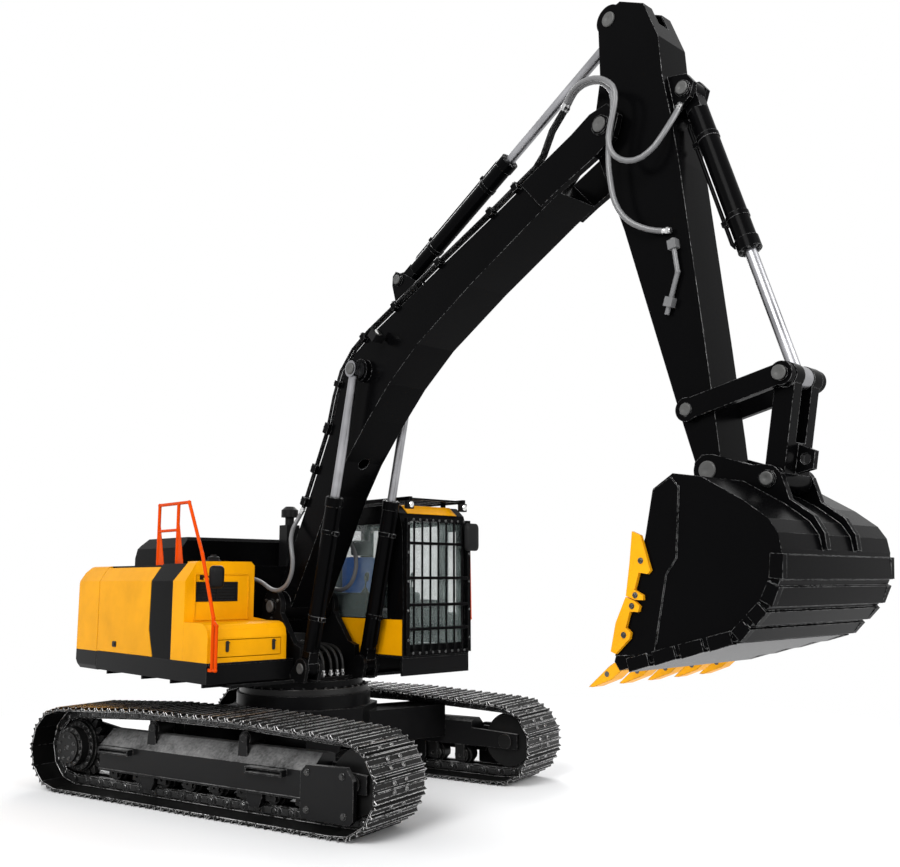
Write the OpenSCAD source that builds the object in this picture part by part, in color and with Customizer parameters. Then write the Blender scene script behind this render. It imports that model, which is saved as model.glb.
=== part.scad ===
// Crawler excavator with a backhoe front, millimetres, +X forward along the boom, +Z up.
// The tracks stand turned under the upper structure, as the machine was parked.

/* [Stance] */
// Slew axis behind the middle of the overall length
slew_back = 1492; // [1000:1:2000]
// Turn of the tracks to the left of the boom, degrees
track_turn = 14.5; // [-45:0.5:45]
// Boom line above level, degrees
boom_angle = 41.2; // [30:0.1:50]
// Arm line, degrees from level
arm_angle = -73.8; // [-90:0.1:-60]

/* [Undercarriage] */
// Distance between the middles of the two tracks
gauge = 2540; // [2300:5:2700]
// Width of a track shoe
shoe_w = 700; // [550:10:800]
// Radius over the shoes round the end wheels
track_r = 405; // [380:1:450]
// Sprocket axle behind the slew axis
sprocket_back = 1790; // [1600:5:2000]
// Idler axle ahead of the slew axis
idler_fwd = 1740; // [1600:5:2000]
// Carrier roller behind the slew axis
carrier_rear = 670; // [400:5:800]
// Carrier roller ahead of the slew axis
carrier_front = 500; // [400:5:800]
// Rise of the upper run over the carrier rollers
carrier_rise = 55; // [20:1:90]
// Wanted pitch of the shoes
shoe_pitch = 190; // [160:1:230]
// Height of a grouser
grouser_h = 26; // [15:1:40]
// Thickness of a shoe plate
shoe_t = 14; // [8:1:20]
// Height of the chain links inside the shoes
link_h = 95; // [70:1:120]
// Width of one link rail
rail_w = 42; // [30:1:60]
// Spacing of the two rails, middle to middle
rail_gap = 150; // [120:1:190]
// Width of a track frame
frame_w = 270; // [220:5:320]
// Top of a track frame
frame_top = 600; // [540:5:630]
// Underside of a track frame
frame_low = 330; // [300:5:360]
// Outer face of the skirt of a track frame, from the track middle
skirt_y = 180; // [150:5:220]
// Lower edge of the skirt
skirt_low = 235; // [200:5:280]
// Shoulder of the skirt, where the sloping top starts
skirt_top = 470; // [420:5:520]
// Radius of a bottom roller
roller_r = 80; // [60:1:95]
// Bottom rollers on a side
roller_n = 8; // [6:1:9]
// Top of the carbody, where the slew ring sits
carbody_top = 930; // [880:5:980]
// Radius of the slew ring
ring_r = 640; // [560:5:700]

/* [House] */
// Underside of the revolving frame
deck_low = 1060; // [1000:5:1120]
// Floor of the house, bottom of the panels
floor_z = 1290; // [1240:5:1340]
// Half width of the house
half_w = 1367; // [1300:1:1400]
// Tail swing radius
tail_r = 2830; // [2600:5:2950]
// Top of the side panels
panel_top = 2200; // [2100:5:2300]
// Front of the counterweight, behind the slew axis
weight_front = 1950; // [1800:5:2100]
// Top of the engine hood
hood_top = 2500; // [2400:5:2600]
// Front of the tool box
box_front = 405; // [350:5:500]
// Front of the tank
tank_front = -50; // [-150:5:50]
// Top of the tool box
box_top = 1650; // [1550:5:1750]
// Panel sheet thickness
sheet = 30; // [20:1:40]
// Shoulder of the side panels, where they start to lean in
shoulder_z = 2040; // [1950:5:2100]
// Lean of the side panels at their top
lean = 100; // [50:5:130]

/* [Cab] */
// Front of the cab
cab_front = 1030; // [950:5:1150]
// Back of the cab, behind the slew axis
cab_back = 690; // [600:5:800]
// Inner side of the cab
cab_in = 455; // [430:1:520]
// Top of the cab roof
cab_top = 2810; // [2700:5:2900]
// Cab post and wall thickness
cab_t = 60; // [45:1:80]
// Pane thickness
pane = 8; // [5:1:12]

/* [Boom] */
// Boom foot pin ahead of the slew axis
boom_foot_x = -80; // [-200:5:100]
// Height of the boom foot pin
boom_foot_z = 1780; // [1650:5:1900]
// Boom length, pin to pin
boom_len = 5690; // [5400:5:5900]
// Boom width
boom_w = 460; // [420:5:520]
// Boom plate thickness
boom_t = 14; // [8:1:25]
// Half width of the boom foot
foot_half = 300; // [260:1:340]
// Half width of the boom nose
nose_half = 270; // [250:1:300]

/* [Arm] */
// Arm length, pin to pin
arm_len = 2865; // [2600:5:3100]
// Arm width
arm_w = 360; // [320:5:420]
// Arm plate thickness
arm_t = 12; // [8:1:25]

/* [Bucket] */
// Bucket width over the side plates
bucket_w = 1480; // [1200:10:1600]
// Bucket shell thickness
bucket_t = 22; // [12:1:30]
// Number of teeth
teeth_n = 5; // [4:1:6]

/* [Cylinders] */
// Boom cylinder foot pin ahead of the slew axis
bc_foot_x = 570; // [500:5:650]
// Height of the boom cylinder foot pin
bc_foot_z = 1200; // [1150:5:1260]
// Boom cylinders off the middle
bc_y = 355; // [340:1:370]
// Barrel radius of a cylinder
barrel_r = 78; // [65:1:95]
// Rod radius of a cylinder
rod_r = 44; // [35:1:55]
// Barrel length of the boom cylinders
bc_barrel = 1680; // [1500:5:1700]
// Barrel length of the arm cylinder
ac_barrel = 1600; // [1400:5:1700]
// Barrel length of the bucket cylinder
kc_barrel = 1390; // [1150:5:1500]

/* [Fits] */
// Gap beside a moving eye
side_gap = 6; // [5:0.5:12]
// Running gap round a pin or rod
run_gap = 0.3; // [0.3:0.1:1]

/* [Hidden] */
$fn = 48;
bend_r = 150;
pin_r = 48;
foot = [boom_foot_x, boom_foot_z];
function turned(o, a, p) = o + [p[0] * cos(a) - p[1] * sin(a), p[0] * sin(a) + p[1] * cos(a)];
function on_boom(p) = turned(foot, boom_angle, p);
nose = on_boom([boom_len, 0]);
function on_arm(p) = turned(nose, arm_angle, p);
tip = on_arm([arm_len, 0]);
// Outlines and pins are drawn at these lengths and stretch along with the named ones
boom_k = boom_len / 5690;
arm_k = arm_len / 2865;
function stretch(k, p) = [for (q = p) [q[0] * k, q[1]]];
// Pins on the boom and arm in their own lines
bc_pin_u = [2490 * boom_k, 840];
ac_base_u = [3325 * boom_k, 1255];
ac_pin_s = [-860 * arm_k, 285];
kc_base_s = [70 * arm_k, 650];
idler_pin_s = [2400 * arm_k, -28];
link_pin_s = [2458 * arm_k, 707];
hook_pin_b = [442, -89];
bc_foot = [bc_foot_x, bc_foot_z];
bc_pin = on_boom(bc_pin_u);
ac_base = on_boom(ac_base_u);
ac_pin = on_arm(ac_pin_s);
kc_base = on_arm(kc_base_s);
idler_pin = on_arm(idler_pin_s);
link_pin = on_arm(link_pin_s);
hook_pin = tip + hook_pin_b;
// Inner end of each rod, from the base pin
bc_in = 1230;
ac_in = 1226;
kc_in = 760;
// Top of the slew ring and the door hinge lines
ring_top = carbody_top + 60;
door_gap = 12;
hinge_in = 20;
hinge_r = 10;
hinge_y = half_w - sheet / 2;
band_rear = -660;
band_edge = [[band_rear, floor_z], [band_rear - 90, 1560], [band_rear - 75, shoulder_z],
    [band_rear - 50, panel_top]];
right_hinge_x = band_edge[1][0] - door_gap - hinge_in;
left_hinge_x = -weight_front + door_gap + hinge_in;
// Inner edge of the leaning tops, where the roof strips and posts start
strip_y = half_w - lean - sheet - 12;
hood_half = half_w - 387;
deck_half = half_w - 217;
deck_rear = -weight_front - 400;
knuckle_y = half_w + 15;
lid_axis = [box_front - 13, floor_z + 66];
hood_axis = [-weight_front + 8, panel_top + 12];
hood_knuckle = [hood_half - 440, hood_half - 340];
// Widths of the eyes side by side
eye_h = 55;
rod_eye_h = 60;
fork_in = rod_eye_h + side_gap;
fork_out = fork_in + 110;
link_in = arm_w / 2 + side_gap;
link_t = 48;
ear_in = arm_w / 2 + side_gap;
ear_t = 50;
// Track loop on the inner face of the shoes
shoe_r = track_r - grouser_h - shoe_t;
axle_z = track_r;
rear_c = [-sprocket_back, axle_z];
front_c = [idler_fwd, axle_z];
top_z = axle_z + shoe_r + carrier_rise;
rear_top = [-carrier_rear, top_z];
front_top = [carrier_front, top_z];
function round_at(c, a) = c + shoe_r * [cos(a), sin(a)];
function meet(c, e, s) = atan2(e[1] - c[1], e[0] - c[0]) + s * acos(shoe_r / norm(e - c));
a_front = meet(front_c, front_top, -1);
a_rear = meet(rear_c, rear_top, 1);
s1 = sprocket_back + idler_fwd;
s2 = s1 + shoe_r * (a_front + 90) * PI / 180;
s3 = s2 + norm(front_top - round_at(front_c, a_front));
s4 = s3 + norm(rear_top - front_top);
s5 = s4 + norm(rear_top - round_at(rear_c, a_rear));
s6 = s5 + shoe_r * (270 - a_rear) * PI / 180;
shoes = round(s6 / shoe_pitch);
pitch = s6 / shoes;
function mix(a, b, f) = a + (b - a) * f;
function loop_at(s) =
    s < s1 ? [s - sprocket_back, axle_z - shoe_r] :
    s < s2 ? round_at(front_c, -90 + (s - s1) / shoe_r * 180 / PI) :
    s < s3 ? mix(round_at(front_c, a_front), front_top, (s - s2) / (s3 - s2)) :
    s < s4 ? mix(front_top, rear_top, (s - s3) / (s4 - s3)) :
    s < s5 ? mix(rear_top, round_at(rear_c, a_rear), (s - s4) / (s5 - s4)) :
    round_at(rear_c, a_rear + (s - s5) / shoe_r * 180 / PI);
function shoe_pin(i) = loop_at(((i + shoes) % shoes) * pitch + 1);
function outward(a, b) = let (d = (b - a) / norm(b - a)) [d[1], -d[0]];
function corner_in(i, h) =
    let (a = shoe_pin(i - 1), b = shoe_pin(i), c = shoe_pin(i + 1))
    let (n = outward(a, b) + outward(b, c)) b - h * n / norm(n);
function inset(p, d) = [for (i = [0 : len(p) - 1])
    let (k = len(p), a = p[(i + k - 1) % k], b = p[i], c = p[(i + 1) % k])
    let (m = outward(a, b), n = outward(b, c)) b - d * (m + n) / (1 + m * n)];
// Boom and arm outlines in their own lines, anticlockwise
boom_line = stretch(boom_k, [[-20, -149], [660, 68], [1320, 295], [1710, 386], [2217, 440], [2647, 465],
    [3159, 435], [3943, 283], [4835, 70], [5080, 5], [5080, 335], [4591, 480], [3900, 700], [3266, 890],
    [2780, 1040], [2520, 1090], [2268, 1070], [2040, 970], [1810, 830], [1400, 670], [929, 490], [400, 300],
    [-20, 149]]);
arm_line = stretch(arm_k, [[-930, 195], [-441, 60], [-150, -90], [0, -165], [300, -150], [862, -118],
    [2380, -112], [2780, -105], [2850, 80], [2649, 120], [1980, 240], [609, 476], [230, 528], [-100, 562],
    [-420, 630], [-760, 600], [-930, 420]]);
bucket_in = [[60, -60], [-94, -150], [-160, -460], [-440, -1264], [-400, -1320], [474, -1090], [579, -992],
    [688, -890], [764, -741], [782, -555], [765, -460], [708, -376], [557, -263], [268, -95]];
yellow = [0.93, 0.67, 0.08];
black = [0.10, 0.10, 0.10];
steel = [0.42, 0.42, 0.42];
bright = [0.80, 0.80, 0.82];
orange = [0.85, 0.22, 0.06];
clear = [0.5, 0.6, 0.65, 0.5];

// Placing helpers
module upper() translate([-slew_back, 0, 0]) children();
module lower() upper() rotate([0, 0, track_turn]) children();
module xz(y0, y1) translate([0, y1, 0]) rotate([90, 0, 0]) linear_extrude(y1 - y0) children();
module yz(x0, x1) translate([x0, 0, 0]) rotate([90, 0, 90]) linear_extrude(x1 - x0) children();
module bar_y(p, r, y0, y1) translate([p[0], y1, p[1]]) rotate([90, 0, 0]) cylinder(r = r, h = y1 - y0);
module box(x0, x1, y0, y1, z0, z1) translate([x0, y0, z0]) cube([x1 - x0, y1 - y0, z1 - z0]);
module both() {
    children();
    mirror([0, 1, 0]) children();
}
module at_line(o, a) translate([o[0], 0, o[1]]) rotate([0, -a, 0]) children();
module boom_frame() at_line(foot, boom_angle) children();
module arm_frame() at_line(nose, arm_angle) children();
module bucket_frame() at_line(tip, 0) children();
module between(p, q) at_line(p, atan2(q[1] - p[1], q[0] - p[0])) children();
module tube_run(p, r) {
    for (i = [0 : len(p) - 2]) {
        d = p[i + 1] - p[i];
        translate(p[i]) rotate([0, acos(d[2] / norm(d)), atan2(d[1], d[0])])
            cylinder(r = r, h = norm(d), $fn = 24);
    }
    for (i = [1 : 1 : len(p) - 2]) translate(p[i]) sphere(r = r + 3, $fn = 24);
}

// Undercarriage, drawn for the right side and mirrored
module side_right() lower() translate([0, -gauge / 2, 0]) children();
module side_left() lower() translate([0, gauge / 2, 0]) mirror([0, 1, 0]) children();

module shoe_shape() difference() {
    polygon([for (i = [0 : shoes - 1]) let (a = shoe_pin(i), b = shoe_pin(i + 1), n = outward(a, b))
        let (d = (b - a) / norm(b - a), l = norm(b - a), g = shoe_t + grouser_h)
        each [a + n * 6, a + d * 12 + n * g, a + d * 36 + n * shoe_t,
            a + d * (l / 2 - 14) + n * shoe_t, a + d * (l / 2 - 6) + n * g, a + d * (l / 2 + 6) + n * g,
            a + d * (l / 2 + 14) + n * shoe_t, a + d * (l - 36) + n * shoe_t, a + d * (l - 12) + n * g]]);
    polygon([for (i = [0 : shoes - 1]) shoe_pin(i)]);
}
module rail_shape() difference() {
    polygon([for (i = [0 : shoes - 1]) shoe_pin(i)]);
    polygon([for (i = [0 : shoes - 1]) corner_in(i, link_h)]);
}
module track() color(steel) union() {
    xz(-shoe_w / 2, shoe_w / 2) shoe_shape();
    for (s = [-1, 1]) xz(s * rail_gap / 2 - rail_w / 2, s * rail_gap / 2 + rail_w / 2) rail_shape();
}
tread_r = shoe_r * cos(pitch / 2 / shoe_r * 180 / PI) - link_h - 1;
roll_z = axle_z - shoe_r + link_h + run_gap + roller_r;
module frame_profile() polygon([[-skirt_y, skirt_low], [-skirt_y + 15, skirt_low], [-skirt_y + 15, frame_low],
    [frame_w / 2, frame_low], [frame_w / 2, frame_top - 30], [60, frame_top], [-30, frame_top],
    [-skirt_y, skirt_top]]);
carrier_z = top_z - link_h - 3 - 62;
module track_frame() color(black) difference() {
    union() {
        yz(-1330, 1330) frame_profile();
        box(-1330, 1330, -skirt_y - 14, -skirt_y + 10, skirt_low, skirt_low + 16);
        xz(frame_w / 2 - 40, frame_w / 2) polygon([[-1400, frame_low], [-1300, frame_low],
            [-1300, frame_top - 30], [-sprocket_back, axle_z + 230], [-sprocket_back - 120, axle_z + 150],
            [-sprocket_back - 120, axle_z - 150], [-sprocket_back, axle_z - 230]]);
        for (s = [-1, 1]) xz(s * 117.5 - 17.5, s * 117.5 + 17.5) polygon([[1300, frame_low],
            [idler_fwd + 130, axle_z - 75], [idler_fwd + 130, axle_z + 75], [1300, frame_top - 90]]);
        xz(-skirt_y - 35, -skirt_y + 12) polygon([[1240, 130], [1270, 95], [idler_fwd + 20, 95],
            [idler_fwd + 55, 130], [idler_fwd + 55, 440], [idler_fwd - 20, 540], [1300, 530],
            [1240, skirt_top]]);
        for (x = [-1280, 640]) side_step(x, 420);
        for (x = [-674, 674]) both() xz(110, 160) polygon([[x - 92, frame_low + 10], [x - 92, 190],
            [x - 55, 110], [x + 55, 110], [x + 92, 190], [x + 92, frame_low + 10]]);
        for (x = [-carrier_rear, carrier_front]) both() xz(101, 131) union() {
            polygon([[x - 60, frame_top - 120], [x + 60, frame_top - 120], [x + 45, carrier_z],
                [x - 45, carrier_z]]);
            translate([x, carrier_z]) circle(r = 45);
        }
    }
    box(-1310, 1310, -frame_w / 2 + 20, frame_w / 2 - 20, frame_low + 20, frame_top - 130);
    translate([0, 0, frame_low - 5]) cylinder(r = 60, h = 40);
    bar_y(rear_c, 170 + run_gap, -400, 400);
    bar_y(front_c, 50 + run_gap, -skirt_y + 14, 400);
    for (x = [-carrier_rear, carrier_front]) bar_y([x, carrier_z], 30 + run_gap, -140, 140);
}
module side_step(x, l) difference() {
    box(x, x + l, -skirt_y - 70, -skirt_y + 5, 405, 460);
    box(x + 14, x + l - 14, -skirt_y - 80, -skirt_y - 12, 418, 447);
}
module sprocket() color(black) difference() {
    union() {
        bar_y(rear_c, 170, 20, 190);
        bar_y(rear_c, 255, -60, frame_w / 2 - 40);
        bar_y(rear_c, 240, -95, -60);
        bar_y(rear_c, 190, -185, -60);
        bar_y(rear_c, 150, -215, -180);
        xz(-30, 30) translate(rear_c) for (i = [0 : 20]) rotate(i * 360 / 21)
            polygon([[200, -38], [300, -24], [330, -12], [330, 12], [300, 24], [200, 38]]);
    }
    bar_y(rear_c, 30, -230, -190);
}
module idler() color(black) union() {
    bar_y(front_c, tread_r, -95, 95);
    bar_y(front_c, tread_r + 20, -45, 45);
    bar_y(front_c, 50, -150, 150);
    both() bar_y(front_c, 75, 135.5, 165);
}
module rollers() color(black) {
    for (i = [0 : roller_n - 1]) {
        p = [-1180 + i * 2360 / (roller_n - 1), roll_z];
        bar_y(p, roller_r, -100, 100);
        bar_y(p, roller_r + 18, -45, 45);
        both() difference() {
            box(p[0] - 55, p[0] + 55, 99, frame_w / 2, p[1] - 45, frame_low);
            bar_y([p[0], p[1]], 18, frame_w / 2 - 12, frame_w / 2 + 5);
        }
    }
    for (x = [-carrier_rear, carrier_front]) {
        bar_y([x, carrier_z], 62, -100, 100);
        bar_y([x, carrier_z], 30, -130, 130);
    }
}
module car_body() color(black) lower() difference() {
    union() {
        translate([0, 0, 480]) cylinder(r = 760, h = 320, $fn = 8);
        translate([0, 0, 700]) cylinder(r = ring_r + 40, h = carbody_top - 700);
        for (a = [0, 180]) rotate([0, 0, a]) for (m = [0, 1]) mirror([m, 0, 0])
            translate([0, 0, 400]) linear_extrude(330) polygon([[200, 500], [640, 200],
                [1000, gauge / 2 - frame_w / 2], [520, gauge / 2 - frame_w / 2]]);
        for (m = [0, 1]) mirror([m, 0, 0]) box(650, 870, -80, 80, 540, 600);
    }
    for (m = [0, 1]) mirror([m, 0, 0]) translate([800, 0, 530]) cylinder(r = 38, h = 80);
    translate([0, 0, 500]) cylinder(r = 560, h = 380);
    translate([0, 0, 470]) cylinder(r = 280, h = 500);
    for (a = [0, 180]) rotate([0, 0, a]) for (m = [0, 1]) mirror([m, 0, 0])
        translate([0, 0, 420]) linear_extrude(290) polygon([[250, 500], [620, 240],
            [940, gauge / 2 - frame_w / 2 - 20], [560, gauge / 2 - frame_w / 2 - 20]]);
}
module slew_ring() color(steel) lower() difference() {
    union() {
        translate([0, 0, carbody_top]) cylinder(r = ring_r + 15, h = ring_top - carbody_top);
        for (i = [0 : 35]) rotate([0, 0, i * 10]) translate([ring_r - 15, 0, ring_top - 5])
            cylinder(r = 14, h = 19, $fn = 6);
    }
    translate([0, 0, carbody_top - 10]) cylinder(r = ring_r - 90, h = 120);
}
module right_track_frame() side_right() track_frame();
module left_track_frame() side_left() track_frame();
module right_track() side_right() track();
module left_track() side_left() track();
module right_sprocket() side_right() sprocket();
module left_sprocket() side_left() sprocket();
module right_idler() side_right() idler();
module left_idler() side_left() idler();
module right_rollers() side_right() rollers();
module left_rollers() side_left() rollers();

// Revolving frame with the boom bracket and the cylinder lugs
brk_in = foot_half + side_gap;
brk_out = brk_in + 60;
lug_off = eye_h + side_gap + 17.5;
module main_frame() color(black) upper() union() {
    frame_body();
    bar_y(foot, pin_r, -brk_out + 1, brk_out - 1);
    both() bar_y(bc_foot, pin_r, bc_y - eye_h - side_gap - 20, bc_y + eye_h + side_gap + 36);
    translate([right_hinge_x, -hinge_y, floor_z - 8]) cylinder(r = hinge_r, h = 54);
    translate([left_hinge_x, hinge_y, floor_z - 8]) cylinder(r = hinge_r, h = 54);
}
module frame_body() difference() {
    union() {
        box(deck_rear, 470, -deck_half, deck_half, deck_low, deck_low + 30);
        translate([0, 0, ring_top + run_gap]) cylinder(r = ring_r - 40, h = deck_low - ring_top);
        box(-weight_front + 2, tank_front, -half_w + 20, half_w - 20, floor_z - 20, floor_z);
        box(tank_front, box_front, -half_w + 20, -420, floor_z - 20, floor_z);
        box(tank_front, cab_front, cab_in - 5, half_w - 20, floor_z - 20, floor_z);
        box(-weight_front + 2, box_front - 5, -half_w, -half_w + 25, deck_low + 40, floor_z);
        box(-weight_front + 2, cab_front - 5, half_w - 25, half_w, deck_low + 40, floor_z);
        box(box_front - 30, box_front - 5, -half_w, -420, deck_low + 40, floor_z);
        box(cab_front - 30, cab_front - 5, cab_in - 5, half_w, deck_low + 40, floor_z);
        for (x = [-1700, -900, -300, 300]) {
            both() box(x, x + 25, deck_half - 10, half_w - 10, deck_low + 5, floor_z - 10);
            both() box(x, x + 25, 420, deck_half - 5, deck_low + 20, floor_z - 10);
        }
        both() xz(brk_in, brk_out) polygon([[deck_rear + 50, deck_low + 10], [700, deck_low + 10],
            [760, 1150], [640, 1330], [330, 1420], [foot[0] + 150, foot[1] - 60],
            [foot[0] - 150, foot[1] - 60], [-560, floor_z], [deck_rear + 50, floor_z]]);
        both() bar_y(foot, 165, brk_in, brk_out);
        both() bar_y(foot, 75, brk_out - 5, brk_out + 18);
        box(-600, -560, -brk_in - 5, brk_in + 5, deck_low + 10, floor_z - 10);
        both() for (y = [bc_y - lug_off, bc_y + lug_off]) xz(y - 17.5, y + 17.5) union() {
            polygon([[bc_foot[0] - 250, deck_low + 10], [bc_foot[0] + 60, deck_low + 10],
                [bc_foot[0] + 82, bc_foot[1] - 47], [bc_foot[0] - 60, bc_foot[1] + 73]]);
            translate(bc_foot) circle(r = 95);
        }
    }
    translate([0, 0, deck_low - 200]) cylinder(r = 250, h = 260);
    box(deck_rear - 50, -weight_front + 1, -half_w + 67, half_w - 67, deck_low + 30, floor_z + 200);
    both() box(bc_foot[0] - 130, bc_foot[0] + 400, bc_y - eye_h - side_gap, bc_y + eye_h + side_gap,
        deck_low + 31, 2000);
}
module counterweight() color(yellow) upper() difference() {
    intersection() {
        rotate_extrude($fn = 120) polygon([[0, deck_low + 30], [tail_r - 70, deck_low + 30],
            [tail_r, deck_low + 120], [tail_r, panel_top - 190], [tail_r - 45, panel_top - 70],
            [tail_r - 150, panel_top], [0, panel_top]]);
        yz(-tail_r - 10, -weight_front) polygon([[-half_w + 25, deck_low + 30], [half_w - 25, deck_low + 30],
            [half_w, deck_low + 75], [half_w, shoulder_z], [half_w - lean + 6, panel_top - 10],
            [half_w - lean - 30, panel_top], [-half_w + lean + 30, panel_top],
            [-half_w + lean - 6, panel_top - 10], [-half_w, shoulder_z], [-half_w, deck_low + 75]]);
    }
    translate([deck_rear + 30, 0, panel_top - 130]) cylinder(r = 30, h = 140);
}
module engine() color(steel) upper() box(-1860, -1080, -560, 620, floor_z, 2080);
module house_frame() color(black) upper() union() {
    both() for (y = [hood_knuckle[0] - 22, hood_knuckle[1] + 2])
        box(hood_axis[0] - 8, hood_axis[0] + 8, y, y + 20, panel_top - 10, hood_axis[1] + 8);
    both() bar_y(hood_axis, 6, hood_knuckle[0] - 10, hood_knuckle[1] + 10);
    yz(-cab_back - 40, -cab_back - 10) polygon([[-half_w + 125, floor_z], [half_w - 95, floor_z],
        [half_w - 95, shoulder_z - 50], [strip_y - 5, shoulder_z - 30], [strip_y - 5, panel_top - 30],
        [-strip_y + 5, panel_top - 30], [-strip_y + 5, shoulder_z - 30], [-half_w + 125, shoulder_z - 50]]);
    both() box(-weight_front, -cab_back - 10, hood_half + 30, strip_y, panel_top - 30, panel_top);
    box(-weight_front, -weight_front + 60, -hood_half - 40, hood_half + 40, panel_top - 30, panel_top);
    box(-cab_back - 160, -cab_back - 10, -hood_half - 40, hood_half + 40, panel_top - 30, panel_top);
    box(-cab_back - 12, tank_back - 2, -strip_y, -600, panel_top - 20, panel_top);
    both() box(-weight_front, -weight_front + 50, strip_y - 75, strip_y - 5, floor_z, panel_top - 25);
}
tank_back = -290;
module right_tank() color(yellow) upper() difference() {
    union() {
        yz(tank_back, tank_front) polygon([[-half_w, floor_z], [-brk_out - 90, floor_z],
            [-brk_out - 90, 1650], [-600, 1680], [-600, panel_top - 10], [-640, panel_top + 30],
            [-half_w + lean + 35, panel_top + 30], [-half_w + lean + 8, panel_top + 13],
            [-half_w, shoulder_z]]);
        difference() {
            box(tank_front - 5, tank_front + 8, -half_w + 100, -660, 1660, 2110);
            box(tank_front - 10, tank_front + 20, -half_w + 112, -672, 1672, 2098);
        }
    }
    box(tank_back + 20, tank_front - 20, -half_w + 25, -brk_out - 115, floor_z - 5, 1640);
    box(tank_back + 20, tank_front - 20, -half_w + lean + 60, -625, 1600, panel_top - 70);
    box(tank_front - 12, tank_front + 20, vent[0], vent[1], vent[2], vent[3]);
    xz(-half_w - 5, -half_w + lean + 50) polygon([[tank_back - 1, shoulder_z],
        [tank_back - 1 + slant_at(panel_top + 40), panel_top + 40], [tank_back - 1, panel_top + 40]]);
}
vent = [-half_w + 117, -790, 1840, 2030];
vent_mid = (vent[0] + vent[1]) / 2;
module tank_vent() color(black) upper() difference() {
    union() {
        difference() {
            box(tank_front - 12, tank_front + 4, vent[0] + 1, vent[1] - 1, vent[2] + 1, vent[3] - 1);
            box(tank_front - 9, tank_front + 9, vent[0] + 16, vent[1] - 16, vent[2] + 16, vent[3] - 16);
        }
        for (i = [0 : 4]) box(tank_front - 10, tank_front, vent[0] + 10, vent[1] - 10,
            vent[2] + 30 + i * 29, vent[2] + 42 + i * 29);
        box(tank_front - 10, tank_front + 2, vent_mid - 6, vent_mid + 6, vent[2] + 10, vent[3] - 10);
    }
    translate([tank_front - 20, vent_mid, vent[3] - 9]) rotate([0, 90, 0]) cylinder(r = 4, h = 40);
}
// Outline of a side panel that leans in above the shoulder, seen from behind
function lean_at(z) = lean * (z - shoulder_z) / (panel_top - shoulder_z);
// Slant of the seam between the tank and the black panel above the shoulder
function slant_at(z) = 0.43 * (z - shoulder_z);
module skin(z0, z1) polygon([[-half_w, z0], [-half_w + sheet, z0], [-half_w + sheet, shoulder_z + 10],
    [-half_w + sheet + lean_at(z1), z1], [-half_w + lean_at(z1), z1], [-half_w, shoulder_z]]);
module band_panel() color(black) upper() intersection() {
    yz(band_rear - 100, tank_front) skin(floor_z, panel_top + 10);
    xz(-half_w - 5, -half_w + 200) polygon([band_edge[0], [tank_back - 3, floor_z],
        [tank_back - 3, shoulder_z],
        [tank_back - 3 + slant_at(panel_top + 15), panel_top + 15], [band_rear - 50, panel_top + 15],
        band_edge[3], band_edge[2], band_edge[1]]);
}
module tool_box() color(yellow) upper() union() {
    box_body();
    bar_y(lid_axis, 6, -half_w + 55, -half_w + 86);
    bar_y(lid_axis, 6, -brk_out - 226, -brk_out - 195);
}
module box_body() difference() {
    xz(-half_w, -brk_out - 140) polygon([[tank_front, floor_z], [box_front, floor_z],
        [box_front, box_top - 130], [box_front - 20, box_top - 60], [box_front - 70, box_top - 15],
        [box_front - 130, box_top], [tank_front, box_top]]);
    box(tank_front + 20, box_front - 25, -half_w + 25, -brk_out - 165, floor_z + 20, box_top - 70);
    box(box_front - 60, box_front + 5, -half_w + 60, -brk_out - 200, floor_z + 45, box_top - 150);
}
module box_lid() color(yellow) upper() difference() {
    box(box_front - 24, box_front - 2, -half_w + 66, -brk_out - 206, floor_z + 51, box_top - 156);
    bar_y(lid_axis, 6 + run_gap, -half_w + 60, -half_w + 90);
    bar_y(lid_axis, 6 + run_gap, -brk_out - 230, -brk_out - 200);
}
module right_door() color(yellow) upper() difference() {
    intersection() {
        yz(-weight_front, band_rear) skin(floor_z + 6, panel_top - 20);
        xz(-half_w - 5, -half_w + 200) polygon([[-weight_front + door_gap, floor_z],
            for (e = band_edge) e - [door_gap, 0], [-weight_front + door_gap, panel_top]]);
    }
    translate([right_hinge_x, -hinge_y, floor_z]) cylinder(r = hinge_r + run_gap, h = 50);
}
module left_door() color(yellow) upper() difference() {
    mirror([0, 1, 0]) yz(-weight_front + door_gap, -cab_back - 60) skin(floor_z + 6, panel_top - 20);
    for (i = [0 : 11]) box(-1700, -1000, half_w - 60, half_w + 5, 1500 + i * 42, 1518 + i * 42);
    translate([left_hinge_x, hinge_y, floor_z]) cylinder(r = hinge_r + run_gap, h = 50);
}
hood_x = [-weight_front + 20, -cab_back - 170];
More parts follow.
